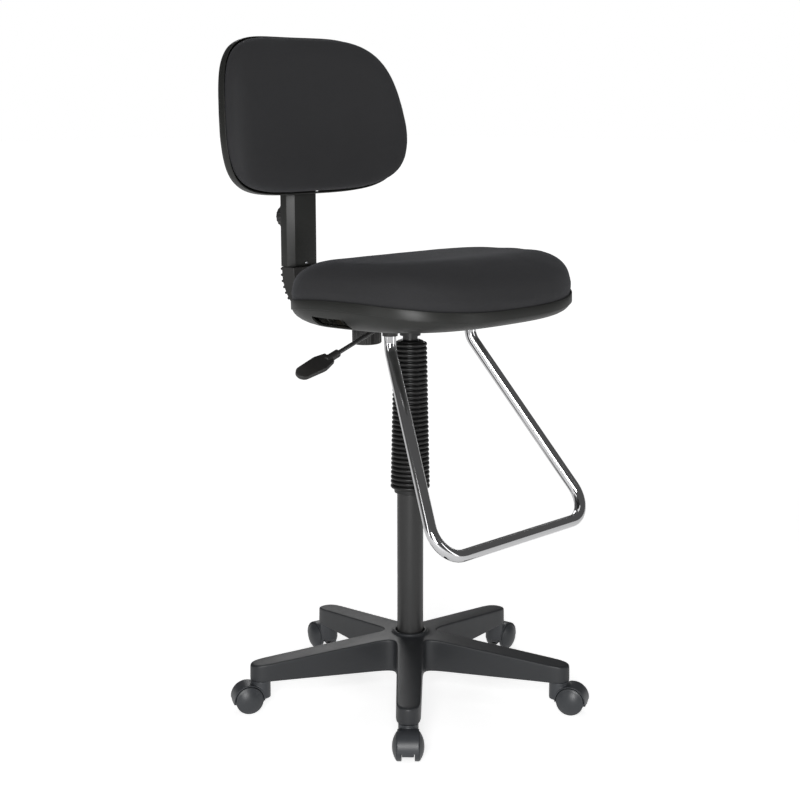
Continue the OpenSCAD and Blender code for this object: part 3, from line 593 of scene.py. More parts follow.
def makeStarBase():
    b = starBase
    edge, edgeDrop = b["edge"], b["edgeDrop"]
    points, faces, lookup = [], [], {}

    def vertex(angle, x, y, z):
        # a cage point given in one leg's own frame, shared where two legs meet
        c, s = math.cos(angle), math.sin(angle)
        place = (c * x - s * y, s * x + c * y, z)
        key = tuple(round(v, 5) for v in place)
        if key not in lookup:
            lookup[key] = len(points)
            points.append(place)
        return lookup[key]

    def face(*corners):
        if len(set(corners)) > 2:
            faces.append(corners)

    def column(angle, x, y, top, outwards):
        # four cage points down a side wall
        ox, oy = outwards
        drop = top - edge
        under = legUnder(math.hypot(x, y))
        reach = b["draft"]
        return [vertex(angle, x, y, top),
                vertex(angle, x + ox * reach * 0.3, y + oy * reach * 0.3, drop),
                vertex(angle, x + ox * reach, y + oy * reach, under + 3 * mm),
                vertex(angle, x + ox * reach, y + oy * reach, under)]

    for n in range(b["legs"]):
        angle = math.radians(b["firstAngle"]) + 2 * math.pi * n / b["legs"]
        sector = math.pi / b["legs"]
        # the collar's rings, five points to a leg
        bearings = [-sector, -sector / 2, 0.0, sector / 2, sector]
        collar = [[vertex(angle, r * mm * math.cos(t), r * mm * math.sin(t), z * mm) for t in bearings]
                  for r, z in b["collar"]]
        for lower, upper in zip(collar, collar[1:]):
            for k in range(4):
                face(lower[k], lower[k + 1], upper[k + 1], upper[k])
        inner, outer = b["valley"]
        fork = [[vertex(angle, r * math.cos(t), r * math.sin(t), b["topRoot"] + lift) for r, lift in
                 ((inner, 0.4 * mm), (outer, -0.6 * mm))] for t in (-sector, sector)]
        rows = []
        for station in [s * mm for s in b["stations"]] + [b["stemRadius"]]:
            half, top = legHalf(station), legTop(station)
            section = ((-half, -edgeDrop), (-half + edge, 0.0), (0.0, 0.5 * mm), (half - edge, 0.0),
                       (half, -edgeDrop))
            rows.append([vertex(angle, station, y, top + lift) for y, lift in section])
        last = collar[-1]
        first = rows[0]
        face(last[2], first[2], first[3], last[3])
        face(last[1], first[1], first[2], last[2])
        face(last[3], first[3], fork[1][0], last[4])
        face(last[1], last[0], fork[0][0], first[1])
        face(first[3], first[4], fork[1][1], fork[1][0])
        face(first[1], fork[0][0], fork[0][1], first[0])
        for near, far in zip(rows, rows[1:]):
            for k in range(4):
                face(near[k], far[k], far[k + 1], near[k + 1])
        # the round end
        centre, radius, top = b["stemRadius"], b["endRadius"], b["topEnd"]
        swing = [math.radians(t) for t in (-90, -45, 0, 45, 90)]
        mid = [vertex(angle, centre + (radius - edge) * math.cos(t), (radius - edge) * math.sin(t),
                      legTop(centre) - 1.2 * mm * math.cos(t)) for t in swing]
        mid[0], mid[4] = rows[-1][1], rows[-1][3]
        rim = [vertex(angle, centre + radius * math.cos(t), radius * math.sin(t),
                      top - edgeDrop - b["endDrop"] * math.cos(t)) for t in swing]
        rim[0], rim[4] = rows[-1][0], rows[-1][4]
        hub = rows[-1][2]
        face(hub, mid[0], mid[1], mid[2])
        face(hub, mid[2], mid[3], mid[4])
        for k in range(4):
            face(mid[k], rim[k], rim[k + 1], mid[k + 1])
        # side walls, round the whole leg from one fork to the next
        across, up = math.cos(sector), math.sin(sector)
        valleyTop = b["topRoot"] - 0.6 * mm
        walls = [column(angle, outer * across, -outer * up, valleyTop, (across, -up))]
        for x in (station * mm for station in b["stations"]):
            walls.append(column(angle, x, -legHalf(x), legTop(x) - edgeDrop, (0, -1)))
        for t in swing:
            lift = top - edgeDrop - b["endDrop"] * math.cos(t)
            walls.append(column(angle, centre + radius * math.cos(t), radius * math.sin(t), lift,
                                (math.cos(t), math.sin(t))))
        for x in (station * mm for station in reversed(b["stations"])):
            walls.append(column(angle, x, legHalf(x), legTop(x) - edgeDrop, (0, 1)))
        walls.append(column(angle, outer * across, outer * up, valleyTop, (across, up)))
        for left, right in zip(walls, walls[1:]):
            for k in range(3):
                face(left[k], left[k + 1], right[k + 1], right[k])
    star = newPiece("starBase", points, faces)
    weld(star, 0.05 * mm)
    modify(star, "SOLIDIFY", thickness=b["skin"], offset=-1.0, use_even_offset=True)
    modify(star, "SUBSURF", levels=3, render_levels=3)
    settle(star)
    shade(star, 50.0)
    handOver(star, "base", "base_plastic", "base_spider")

    # the sleeve round the column, the stems' bosses and the ribs under each leg
    inside = [lathe("sleeve", [(25.1 * mm, 56.5 * mm), (30.5 * mm, 56.5 * mm), (31.5 * mm, 111 * mm),
                               (25.1 * mm, 111 * mm)], closed=True)]
    for n in range(b["legs"]):
        turn = Matrix.Rotation(math.radians(b["firstAngle"]) + 2 * math.pi * n / b["legs"], 4, "Z")
        bossTop = b["topEnd"] - 3 * mm
        boss = [(b["boreRadius"], b["underEnd"]), (10.5 * mm, b["underEnd"]), (10.5 * mm, bossTop),
                (b["boreRadius"], bossTop)]
        inside.append(lathe("boss", boss, 40, turn @ Matrix.Translation((b["stemRadius"], 0, 0)), True))
        for x in b["ribPlaces"]:
            half = legHalf(x) - 2.5 * mm
            plate = [(x, -half), (x + b["ribThick"], -half), (x + b["ribThick"], half), (x, half)]
            inside.append(prism("rib", plate, b["underEnd"] + 5 * mm, legTop(x) - 2.5 * mm, turn))
        side = b["ribThick"] / 2
        start, stop = 34 * mm, b["stemRadius"] - 9 * mm
        spine = [(start, -side), (stop, -side), (stop, side), (start, side)]
        inside.append(prism("spine", spine, b["underEnd"] + 8 * mm, bossTop, turn))
    ribs = join("baseRibs", inside)
    shade(ribs)
    handOver(ribs, "base", "base_plastic")


makeStarBase()
print("star base made")


# casters
casterLook = {
    "trail": 25.5 * mm,
    "radius": 26.0 * mm,
    "inner": 11.6 * mm,
    "tread": 8.4 * mm,
    "dome": 8.6 * mm,
    "hoodVoxel": 0.9 * mm,
}


def wheelProfile():
    # from the bore out over the inner face, the tread, a seam and the domed cap
    c = casterLook
    r, inner, outer = c["radius"], c["inner"], c["inner"] + c["tread"]
    soft = 1.1 * mm
    profile = [(3.05 * mm, inner + 11 * mm), (3.05 * mm, inner + 0.4 * mm), (7 * mm, inner + 0.4 * mm),
               (7.4 * mm, inner + 5 * mm), (r - 4.4 * mm, inner + 5 * mm), (r - 4 * mm, inner)]
    profile += [(r - soft + soft * math.sin(t), inner + soft - soft * math.cos(t))
                for t in np.linspace(0, math.pi / 2, 5)]
    profile += [(r, outer - 1.0 * mm), (r - 0.25 * mm, outer - 0.4 * mm), (r - 0.9 * mm, outer - 0.15 * mm),
                (r - 1.1 * mm, outer + 0.25 * mm), (r - 0.75 * mm, outer + 0.7 * mm)]
    domeRadius = (r * r + c["dome"] ** 2) / (2 * c["dome"])
    for reach in np.linspace(r - 1.4 * mm, 0.0, 12):
        rise = math.sqrt(domeRadius ** 2 - reach ** 2) - (domeRadius - c["dome"])
        profile.append((float(reach), outer + rise - 0.1 * mm))
    return profile


def makeCasters():
    for n in range(1, starBase["legs"] + 1):
        angle = math.radians(starBase["firstAngle"]) + 2 * math.pi * (n - 1) / starBase["legs"]
        hood = mouldedCopy(f"caster_hood_{n}", f"casterHood{n}", casterLook["hoodVoxel"], 5)
        handOver(hood, f"caster_{n}", "caster_plastic", f"caster_hood_{n}")
        place = Matrix.Rotation(angle, 4, "Z") @ Matrix.Translation(
            (starBase["stemRadius"] + casterLook["trail"], 0, casterLook["radius"]))
        for side, tip in (("left", -90), ("right", 90)):
            turn = place @ Matrix.Rotation(math.radians(tip), 4, "X")
            wheel = lathe(f"casterWheel_{side}_{n}", wheelProfile(), 64, turn)
            shade(wheel, 28.0)
            handOver(wheel, f"wheel_{side}_{n}", "wheel_plastic", f"caster_wheel_{side}_{n}")


makeCasters()
print("casters made")


# bellows
bellowsLook = {
    "ribs": 32,
    "foot": 402 * mm,
    "head": 695 * mm,
    "lowRadius": 37.5 * mm,
    "highRadius": 31.5 * mm,
    "ribReach": 4.4 * mm,
    "ribHeight": 3.9 * mm,
}


def makeBellows():
    b = bellowsLook
    pitch = (b["head"] - b["foot"] - 12 * mm) / b["ribs"]
    sizes = {"Ribs": b["ribs"], "Pitch": pitch, "Foot": b["foot"] + 8 * mm + pitch / 2,
             "Low Radius": b["lowRadius"], "High Radius": b["highRadius"], "Reach": b["ribReach"],
             "Height": b["ribHeight"]}
    tree, size = geometryTree("ringStack", sizes)
    start = tree.add("ShaderNodeCombineXYZ", inputs={"Z": size["Foot"]})
    step = tree.add("ShaderNodeCombineXYZ", inputs={"Z": size["Pitch"]})
    line = tree.add("GeometryNodeMeshLine",
                    inputs={"Count": size["Ribs"], "Start Location": start, "Offset": step})
    loop = tree.add("GeometryNodeCurvePrimitiveCircle",
                    inputs={"Resolution": 80, "Radius": size["Low Radius"] - size["Reach"]})
    section = tree.add("GeometryNodeCurvePrimitiveCircle", inputs={"Resolution": 14, "Radius": 1.0})
    shape = tree.add("ShaderNodeCombineXYZ", inputs={"X": size["Reach"], "Y": size["Height"], "Z": 1.0})
    section = tree.add("GeometryNodeTransform", inputs={"Geometry": section, "Scale": shape})
    ring = tree.add("GeometryNodeCurveToMesh", inputs={"Curve": loop, "Profile Curve": section})
    index = tree.add("GeometryNodeInputIndex")
    share = index / size["Ribs"]
    shrink = (size["Low Radius"] + (size["High Radius"] - size["Low Radius"]) * share) / size["Low Radius"]
    scale = tree.add("ShaderNodeCombineXYZ", inputs={"X": shrink, "Y": shrink, "Z": 1.0})
    stack = tree.add("GeometryNodeInstanceOnPoints",
                     inputs={"Points": line, "Instance": ring, "Scale": scale})
    ribs = runTree(tree, stack, "bellows_rubber", "bellowsRibs", sizes)
    weld(ribs, 0.001 * mm)
    shade(ribs, 60.0)
    foot, head = b["foot"], b["head"]
    low, high = b["lowRadius"], b["highRadius"]
    # a collar that grips the column, the wall behind the ribs and a neck round the cylinder
    collar = [(25.3, 8), (25.3, 0), (29.6, 0), (30.4, 0.8), (30.5, 8)]
    profile = [(r * mm, foot + rise * mm) for r, rise in collar]
    profile += [(low - 6 * mm, foot + 8.5 * mm), (high - 6 * mm, head - 5 * mm),
                (high - 7.5 * mm, head - 2 * mm), (19 * mm, head), (14.3 * mm, head),
                (14.3 * mm, head - 3 * mm), (high - 8.6 * mm, head - 5 * mm),
                (low - 8.2 * mm, foot + 9.5 * mm)]
    sleeve = lathe("bellowsSleeve", profile, 80, closed=True)
    shade(sleeve)
    for piece in (ribs, sleeve):
        handOver(piece, "base", "bellows_rubber", "bellows")
        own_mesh(piece)


makeBellows()
print("bellows made")


# seat
seatLook = {
    "halfWidth": 254.5 * mm,
    "halfDepth": 209 * mm,
    "forward": 61 * mm,
    "tilt": 1.5,
    "under": 737 * mm,
    "rim": 45 * mm,
    "band": 17.5 * mm,
    "crown": 16.5 * mm,
    "crossRise": 6.2 * mm,
    "wall": 3 * mm,
    "points": 160,
    "pocket": {"out": 226 * mm, "along": -31 * mm, "high": 21 * mm, "long": 84 * mm, "tall": 30 * mm,
               "deep": 14 * mm, "lean": 44, "ribs": (-14 * mm, 20 * mm), "ribThick": 2.6 * mm},
    "boltOut": 110 * mm,
    "boltRows": (-79 * mm, -27 * mm),
    "boltHole": 3.5 * mm,
    "mouthHalf": 77 * mm,
    "mouthFront": -70 * mm,
    "mouthHigh": 24.5 * mm,
}
seatFrame = (Matrix.Translation((0, 0, seatLook["under"]))
             @ Matrix.Rotation(math.radians(-seatLook["tilt"]), 4, "X"))


def powered(value, exponent):
    return math.copysign(abs(value) ** exponent, value)


def seatOutline(inset):
    # squarer behind, rounder and a little narrower in front
    s = seatLook
    outline = []
    for k in range(s["points"]):
        t = 2 * math.pi * k / s["points"]
        behind = math.sin(t) > 0
        exponent = 2 / 3.0 if behind else 2 / 2.95
        taper = 1.0 if behind else 1 - 0.03 * math.sin(t) ** 2
        outline.append(((s["halfWidth"] - inset) * powered(math.cos(t), exponent) * taper,
                        (s["halfDepth"] - inset) * powered(math.sin(t), exponent) - s["forward"]))
    return outline


def crownLift(x, y):
    # the rim rises at the middle of each side and falls at front and rear
    share = (y + seatLook["forward"]) / seatLook["halfDepth"]
    side = x / seatLook["halfWidth"]
    return seatLook["crossRise"] * (side * side - 0.5) - seatLook["crown"] * (share * share - 0.5)


def seatRow(inset, z, crown=1.0):
    return [(x, y, z + crown * crownLift(x, y)) for x, y in seatOutline(inset)]


def pocketOutline(inset):
    # a rounded slot's outline, lengthwise in X
    pocket = seatLook["pocket"]
    half, tall, corner = pocket["long"] / 2 - inset, pocket["tall"] / 2 - inset, 6 * mm - inset
    outline = []
    for cx, cy, start in ((1, 1, 0), (-1, 1, 90), (-1, -1, 180), (1, -1, 270)):
        for t in np.linspace(start, start + 90, 6):
            outline.append((cx * (half - corner) + corner * math.cos(math.radians(t)),
                            cy * (tall - corner) + corner * math.sin(math.radians(t))))
    return outline


def makeSeatShell():
    s = seatLook
    pockets = []
    # each row is its inset, its height and its share of the crown, in millimetres
    rim, wall = s["rim"] / mm, s["wall"] / mm
    low = (s["rim"] - s["band"]) / mm
    outside = [(62, 0, 0.0), (50, 0.5, 0.02), (38, 2.0, 0.1), (27, 5.2, 0.26), (17, 10.0, 0.46),
               (9, 16.2, 0.7), (4.6, 21.8, 0.88), (2.8, low - 1.8, 0.97), (2.4, low - 0.9, 1.0),
               (2.5, low - 0.1, 1.0), (1.6, low + 0.1, 1.0), (0.5, low + 0.2, 1.0), (0.0, low + 0.9, 1.0),
               (0.0, low + 3.5, 1.0), (0.0, rim - 1.2, 1.0), (0.5, rim - 0.3, 1.0), (1.2, rim, 1.0),
               (2.4, rim - 0.2, 1.0), (3.0, rim - 1.2, 1.0)]
    inside = [(wall + 0.2, low + 3, 1.0), (wall + 3.6, low - 3.8, 0.88), (wall + 9, 17.6, 0.7),
              (wall + 18, 11.6, 0.46), (wall + 30, 6.6, 0.2), (62, 3.0, 0.0)]
    rows = [seatRow(inset * mm, z * mm, crown) for inset, z, crown in outside + inside]
    flat = [[(x * f, (y + s["forward"]) * f - s["forward"], z) for x, y, z in rows[0]] for f in (0.6, 0.25)]
    under = [[(x, y, 0.0) for x, y, z in row] for row in reversed(flat)]
    over = [[(x, y, 3 * mm) for x, y, z in row] for row in flat]
    shell = rings("seatShell", under + rows + over, caps=(True, True))
    weld(shell)
    half, front, high = s["mouthHalf"], s["mouthFront"], s["mouthHigh"]
    corner = 12 * mm
    outline = []
    for cx, cy, start in ((half, 0.3, 0), (-half, 0.3, 90), (-half, front, 180), (half, front, 270)):
        for t in np.linspace(start, start + 90, 7):
            outline.append((cx - math.copysign(corner, cx) + corner * math.cos(math.radians(t)),
                            cy + (corner if cy < 0 else -corner) + corner * math.sin(math.radians(t))))
    mouth = prism("mouth", outline, -20 * mm, high)
    modify(mouth, "BEVEL", width=5 * mm, segments=3, limit_method="ANGLE", angle_limit=math.radians(60))
    settle(mouth)
    cut(shell, mouth)
    for side in (-1, 1):
        for along in s["boltRows"]:
            drill = [(0.0, -20 * mm), (s["boltHole"], -20 * mm), (s["boltHole"], 20 * mm), (0.0, 20 * mm)]
            cut(shell, lathe("hole", drill, 24, Matrix.Translation((side * s["boltOut"], along, 0))))
        # a pocket in the lower wall of each side, where an arm's bracket can be bolted on
        pocket = s["pocket"]
        place = (Matrix.Translation((side * pocket["out"], pocket["along"], pocket["high"]))
                 @ Matrix.Rotation(math.radians(side * pocket["lean"]), 4, "Y"))
        turn = place @ Matrix.Rotation(math.radians(90), 4, "Z") @ Matrix.Rotation(math.radians(90), 4, "X")
        cut(shell, prism("pocket", pocketOutline(0.0), -30 * mm, 30 * mm, turn))
        pockets.append((side, turn))
    shell.data.transform(seatFrame)
    shade(shell, 32.0)
    handOver(shell, "seat", "shell_plastic", "seat_shell")
    parts = []
    for side, turn in pockets:
        deep = pocket["deep"]
        low, high = (0.0, deep) if side < 0 else (-deep, 0.0)
        outer, inner = pocketOutline(-1.2 * mm), pocketOutline(0.3 * mm)
        wall = rings("wall", [[(x, y, z) for x, y in outline] for outline, z in
                              ((outer, low), (outer, high), (inner, high), (inner, low), (outer, low))])
        wall.data.transform(seatFrame @ turn)
        parts.append(wall)
        thick, tall = pocket["ribThick"] / 2, pocket["tall"] / 2
        for x in pocket["ribs"]:
            plate = [(x - thick, -tall), (x + thick, -tall), (x + thick, tall), (x - thick, tall)]
            parts.append(prism("rib", plate, low, high - 1 * mm if high > 0 else high, seatFrame @ turn))
    liner = join("armPockets", parts)
    weld(liner)
    shade(liner)
    handOver(liner, "seat", "shell_plastic")


makeSeatShell()
print("seat shell made")

padLook = {
    "seatRise": 66 * mm,
    "seatRoll": 62 * mm,
    "seatDish": 5 * mm,
    "seatFront": 5 * mm,
    "voxel": 5 * mm,
    "pressure": 4.0,
    "seatCap": 6 * mm,
    "backCap": 5 * mm,
    "frames": 20,
    "evening": 60,
}


def plump(piece, held, cap, soften):
    # remeshed, blown up as cloth with its hidden part held, no point further than the cap
    modify(piece, "REMESH", mode="VOXEL", voxel_size=padLook["voxel"])
    modify(piece, "SMOOTH", factor=0.5, iterations=soften)
    settle(piece)
    start = np.array([tuple(v.co) for v in piece.data.vertices])
    group = piece.vertex_groups.new(name="held")
    group.add([v.index for v in piece.data.vertices if held(v.co)], 1.0, "REPLACE")
    cloth = modify(piece, "CLOTH").settings
    cloth.quality = 6
    cloth.mass = 0.3
    cloth.tension_stiffness = 14
    cloth.compression_stiffness = 14
    cloth.bending_stiffness = 6.0
    cloth.use_pressure = True
    cloth.uniform_pressure_force = padLook["pressure"]
    cloth.vertex_group_mass = "held"
    cloth.effector_weights.gravity = 0.0
    for step in range(1, padLook["frames"] + 1):
        bpy.context.scene.frame_set(step)
    settle(piece)
    bpy.context.scene.frame_set(1)
    moved = np.array([tuple(v.co) for v in piece.data.vertices]) - start
    length = np.linalg.norm(moved, axis=1, keepdims=True)
    moved *= np.minimum(1.0, cap / np.maximum(length, 1e-9))
    # the swelling is evened out between neighbours, so no buckle stays
    ends = np.array([tuple(edge.vertices) for edge in piece.data.edges])
    count = np.bincount(ends.ravel(), minlength=len(start))[:, None]
    for _ in range(padLook["evening"]):
        total = np.zeros_like(moved)
        np.add.at(total, ends[:, 0], moved[ends[:, 1]])
        np.add.at(total, ends[:, 1], moved[ends[:, 0]])
        moved = 0.5 * moved + 0.5 * total / np.maximum(count, 1)
    for vertex, place in zip(piece.data.vertices, start + moved):
        vertex.co = place
    piece.vertex_groups.clear()
    modify(piece, "SMOOTH", factor=0.5, iterations=5)
    modify(piece, "SUBSURF", levels=1, render_levels=1)
    settle(piece)
    piece.data.shade_smooth()


def rollRise(distance, roll, power=2.3):
    # height gained this far in from the edge, as a share of the full rise
    left = 1 - min(1.0, distance / roll)
    return (1 - left ** power) ** (1 / power)


def makeSeatPad():
    s = seatLook
    rise, roll = padLook["seatRise"], padLook["seatRoll"]
    rows = [seatRow(4.5 * mm, z * mm, 0.8) for z in (26, 33, 40)] + [seatRow(3.6 * mm, 43.5 * mm)]
    # the side wall leans out, then the top rolls over
    wall = [(2.4, 1.5 * mm), (0.8, 7 * mm), (-0.6, 14 * mm), (0.4, 21 * mm)]
    top = [(inset, 21 * mm + (rise - 21 * mm) * rollRise((inset - 0.4) * mm, roll))
           for inset in (3.4, 8, 15, 23, 33, 45, 58, 74, 95, 120, 150, 180)]
    for inset, climb in wall + top:
        row = []
        for x, y, z in seatRow(inset * mm, s["rim"]):
            depth = (y + s["forward"]) / s["halfDepth"]
            side = abs(x) / s["halfWidth"]
            share = min(1.0, inset / 70)
            # flat across the middle, a shallow dish for the sitter and a rounded front
            level = crownLift(x, y) * (1 - 0.55 * share)
            dish = padLook["seatDish"] * share * math.exp(-((depth - 0.1) / 0.5) ** 2) * (1 - side ** 2)
            front = padLook["seatFront"] * share * math.exp(-((depth + 0.62) / 0.3) ** 2)
            row.append((x, y, s["rim"] + level + climb - dish + front))
        rows.append(row)
    pad = rings("seatPad", rows, caps=(True, True))
    weld(pad)
    plump(pad, lambda p: p.z < s["rim"] + crownLift(p.x, p.y) + 1.5 * mm, padLook["seatCap"], 4)
    pad.data.transform(seatFrame)
    handOver(pad, "seat", "cushion_fabric", "seat_cushion")


makeSeatPad()
print("seat cushion made")


# back
backLook = {
    "halfWidth": 231.5 * mm,
    "height": 303 * mm,
    "low": 955 * mm,
    "behind": 262 * mm,
    "tilt": 9.0,
    "wrap": 800 * mm,
    "lumbar": 7 * mm,
    "shellDepth": 24 * mm,
    "shellSquare": 4.4,
    "padRise": 40 * mm,
    "padRoll": 46 * mm,
    "points": 144,
}
backFrame = (Matrix.Translation((0, backLook["behind"], backLook["low"]))
             @ Matrix.Rotation(math.radians(-backLook["tilt"]), 4, "X"))


def boardFront(x, z):
    # the board's front bends round the sitter, with a slight swell at its middle height
    b = backLook
    swell = b["lumbar"] * ((2 * z / b["height"] - 1) ** 2 - 0.35)
    return math.sqrt(b["wrap"] ** 2 - x * x) - b["wrap"] + swell


def backRow(inset, depth, share=1.0, square=3.9):
    # the back's outline, narrower above, bent round the sitter; depth is rearwards of the board's front
    b = backLook
    row = []
    for k in range(b["points"]):
        t = 2 * math.pi * k / b["points"]
        v = powered(math.sin(t), 2 / square)
        taper = 1 - 0.18 * (max(0.0, v + 0.35) / 1.35) ** 1.6
        x = (b["halfWidth"] - inset) * powered(math.cos(t), 2 / square) * taper * share
        z = (b["height"] / 2 - inset) * v * share * 0.997 + b["height"] / 2 + 0.5 * mm
        row.append((x, boardFront(x, z) + depth, z))
    return row


def makeBackShell():
    b = backLook
    deep = b["shellDepth"] / mm
    outside = [(3.0, 1.5), (1.6, 0.3), (0.8, 0.0), (0.2, 0.6), (0.0, 2.0), (0.0, deep - 13),
               (0.8, deep - 8.5), (3.0, deep - 4.6), (6.6, deep - 1.9), (11.5, deep - 0.5), (17, deep)]
    square = b["shellSquare"]
    rows = [backRow(inset * mm, depth * mm, square=square) for inset, depth in outside]
    rows += [backRow(inset * mm, b["shellDepth"], square=square) for inset in (30, 48, 70, 95, 120, 146)]
    inside = [(inset, deep - 3) for inset in (146, 120, 95, 70, 48, 30)]
    inside += [(18, deep - 3.2), (11, deep - 4.2), (6.5, deep - 7), (3.6, deep - 12)]
    skin = rings("skin", rows, caps=(False, True))
    lining = [rows[0]] + [backRow(i * mm, d * mm, square=square) for i, d in reversed(inside)]
    lining = rings("lining", lining, caps=(False, True))
    shell = join("backShell", [skin, lining])
    weld(shell)
    shell.data.transform(backFrame)
    low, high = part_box("upright_cover")
    tunnel = prism("tunnel", [(low.x - 1 * mm, low.y - 1 * mm), (high.x + 1 * mm, low.y - 1 * mm),
                              (high.x + 1 * mm, high.y + 5 * mm), (low.x - 1 * mm, high.y + 5 * mm)],
                   b["low"] - 20 * mm, b["low"] + 116 * mm)
    cut(shell, tunnel)
    shade(shell, 32.0)
    handOver(shell, "backrest", "shell_plastic", "back_shell")

    # the housing behind, open below, where the upright slides in
    outer = (high.x + 8 * mm, high.y + 8 * mm, low.y - 2 * mm)
    base, top = b["low"] + 4 * mm, b["low"] + 120 * mm
    mouth = [(3 * mm, base + 1 * mm), (1.2 * mm, base), (0.2 * mm, base + 0.8 * mm), (0, base + 3 * mm)]
    crest = [(inset * mm, top - drop * mm) for inset, drop in ((0, 26), (1.5, 16), (5.5, 8), (12, 3), (20, 0))]
    rows = []
    for inset, z in mouth + crest:
        half, back, front = outer[0] - inset, outer[1] - inset, outer[2]
        corner = 11 * mm
        ring = [(half, front)]
        ring += [(half - corner + corner * math.cos(t), back - corner + corner * math.sin(t))
                 for t in np.linspace(0, math.pi / 2, 8)]
        ring += [(-x, y) for x, y in reversed(ring)]
        rows.append([(x, y, z) for x, y in ring])
    housing = rings("backHousing", rows, caps=(False, True))
    weld(housing)
    modify(housing, "SOLIDIFY", thickness=2.8 * mm, offset=-1.0)
    settle(housing)
    shade(housing, 32.0)
    handOver(housing, "backrest", "shell_plastic")


makeBackShell()
print("back shell made")


def makeBackPad():
    b = backLook
    rise, roll = b["padRise"], b["padRoll"]
    rows = [backRow(60 * mm, 6 * mm, share) for share in (0.1, 0.5, 1.0)]
    rows += [backRow(inset * mm, depth * mm, square=b["shellSquare"]) for inset, depth in
             ((30, 6.0), (9, 6.0), (5, 5.2), (3.9, 3.4), (3.0, 0.8), (1.6, -2.4), (0.8, -7.0), (0.8, -12.0),
              (2.0, -18.0))]
    for inset in (4, 8, 13, 20, 28, 37, 48, 62, 80, 105):
        depth = 18 * mm + (rise - 18 * mm) * rollRise((inset - 1.6) * mm, roll, 2.0)
        rows.append(backRow(inset * mm, -depth, square=b["shellSquare"] - 1.3 * min(1.0, inset / 26)))
    rows += [backRow(105 * mm, -rise, share, 3.3) for share in (0.7, 0.4, 0.1)]
    pad = rings("backPad", rows, caps=(True, True))
    weld(pad)
    plump(pad, lambda p: p.y - boardFront(p.x, p.z) > -1.5 * mm, padLook["backCap"], 3)
    pad.data.transform(backFrame)
    handOver(pad, "backrest", "cushion_fabric", "back_cushion")


def makeBoards():
    # plywood boards under both cushions, set in from the shells
    rows = [backRow(14 * mm, depth * mm) for depth in (6.4, 11)]
    front, rear = ([backRow(60 * mm, depth * mm, share) for share in (0.1, 1.0)] for depth in (6.4, 11))
    board = rings("backBoard", front + rows + rear[::-1], caps=(True, True))
    weld(board)
    board.data.transform(backFrame)
    shade(board)
    handOver(board, "backrest", "board_wood", "back_board")
    low, high = 24 * mm, 36 * mm
    rows = [seatRow(12 * mm, z, 0.9) for z in (low + 4 * mm, high + 1 * mm)]
    lower, upper = ([seatRow(inset * mm, z, 0.0) for inset in (150, 60)] for z in (low, high))
    board = rings("seatBoard", lower + rows + upper[::-1], caps=(True, True))
    weld(board)
    board.data.transform(seatFrame)
    shade(board)
    handOver(board, "seat", "board_wood", "seat_board")


makeBackPad()
makeBoards()
print("back cushion and boards made")


# footrest
footLook = {
    "tube": 11 * mm,
    "low": 363.5 * mm,
    "out": 268 * mm,
    "half": 219 * mm,
    "topHalf": 110 * mm,
    "bend": 695 * mm,
    "topOut": 53 * mm,
    "head": 733 * mm,
    "corner": 50 * mm,
    "topCorner": 40 * mm,
}


def rounded(corners, radii, steps=18):
    # a path through corners, each turned on an arc of its radius
    path = [Vector(corners[0])]
    for before, here, after, radius in zip(corners, corners[1:], corners[2:], radii):
        a = (Vector(before) - Vector(here)).normalized()
        b = (Vector(after) - Vector(here)).normalized()
        half = a.angle(b) / 2
        centre = Vector(here) + (a + b).normalized() * radius / math.sin(half)
        start = Vector(here) + a * radius / math.tan(half) - centre
        stop = Vector(here) + b * radius / math.tan(half) - centre
        for k in range(steps + 1):
            path.append(centre + start.slerp(stop, k / steps).normalized() * radius)
    return path + [Vector(corners[-1])]


def tube(name, path, radius, segments=40):
    # a round tube along a path, its section carried without twist
    rows = []
    side = None
    for k, place in enumerate(path):
        ahead = (path[min(k + 1, len(path) - 1)] - path[max(k - 1, 0)]).normalized()
        side = ahead.orthogonal() if side is None else side - ahead * side.dot(ahead)
        side = side.normalized()
        other = ahead.cross(side)
        rows.append([place + (side * math.cos(t) + other * math.sin(t)) * radius
                     for t in np.linspace(0, 2 * math.pi, segments, endpoint=False)])
    piece = rings(name, rows, caps=(True, True))
    weld(piece)
    return piece


def makeFootrest():
    f = footLook
    corners = [(f["topHalf"], -f["topOut"], f["head"]), (f["topHalf"], -f["topOut"], f["bend"]),
               (f["half"], -f["out"], f["low"]), (-f["half"], -f["out"], f["low"]),
               (-f["topHalf"], -f["topOut"], f["bend"]), (-f["topHalf"], -f["topOut"], f["head"])]
    path = rounded(corners, [f["topCorner"], f["corner"], f["corner"], f["topCorner"]])
    rail = tube("footrestRail", path, f["tube"], 48)
    shade(rail)
    handOver(rail, "seat", "footrest_chrome", "footrest_tube")
    plates = easedCopy("footrest_brackets", "footrestPlates", 0.7 * mm)
    handOver(plates, "seat", "frame_paint", "footrest_brackets")


makeFootrest()
print("footrest made")


# knobs, lever, bar, boot and cover
knobLook = {
    "gripRibs": 18,
    "gripRadius": 1.9 * mm,
    "studRadius": 4 * mm,
    "depthRadius": 28.4 * mm,
    "depthOut": 115 * mm,
    "depthLow": -30 * mm,
}


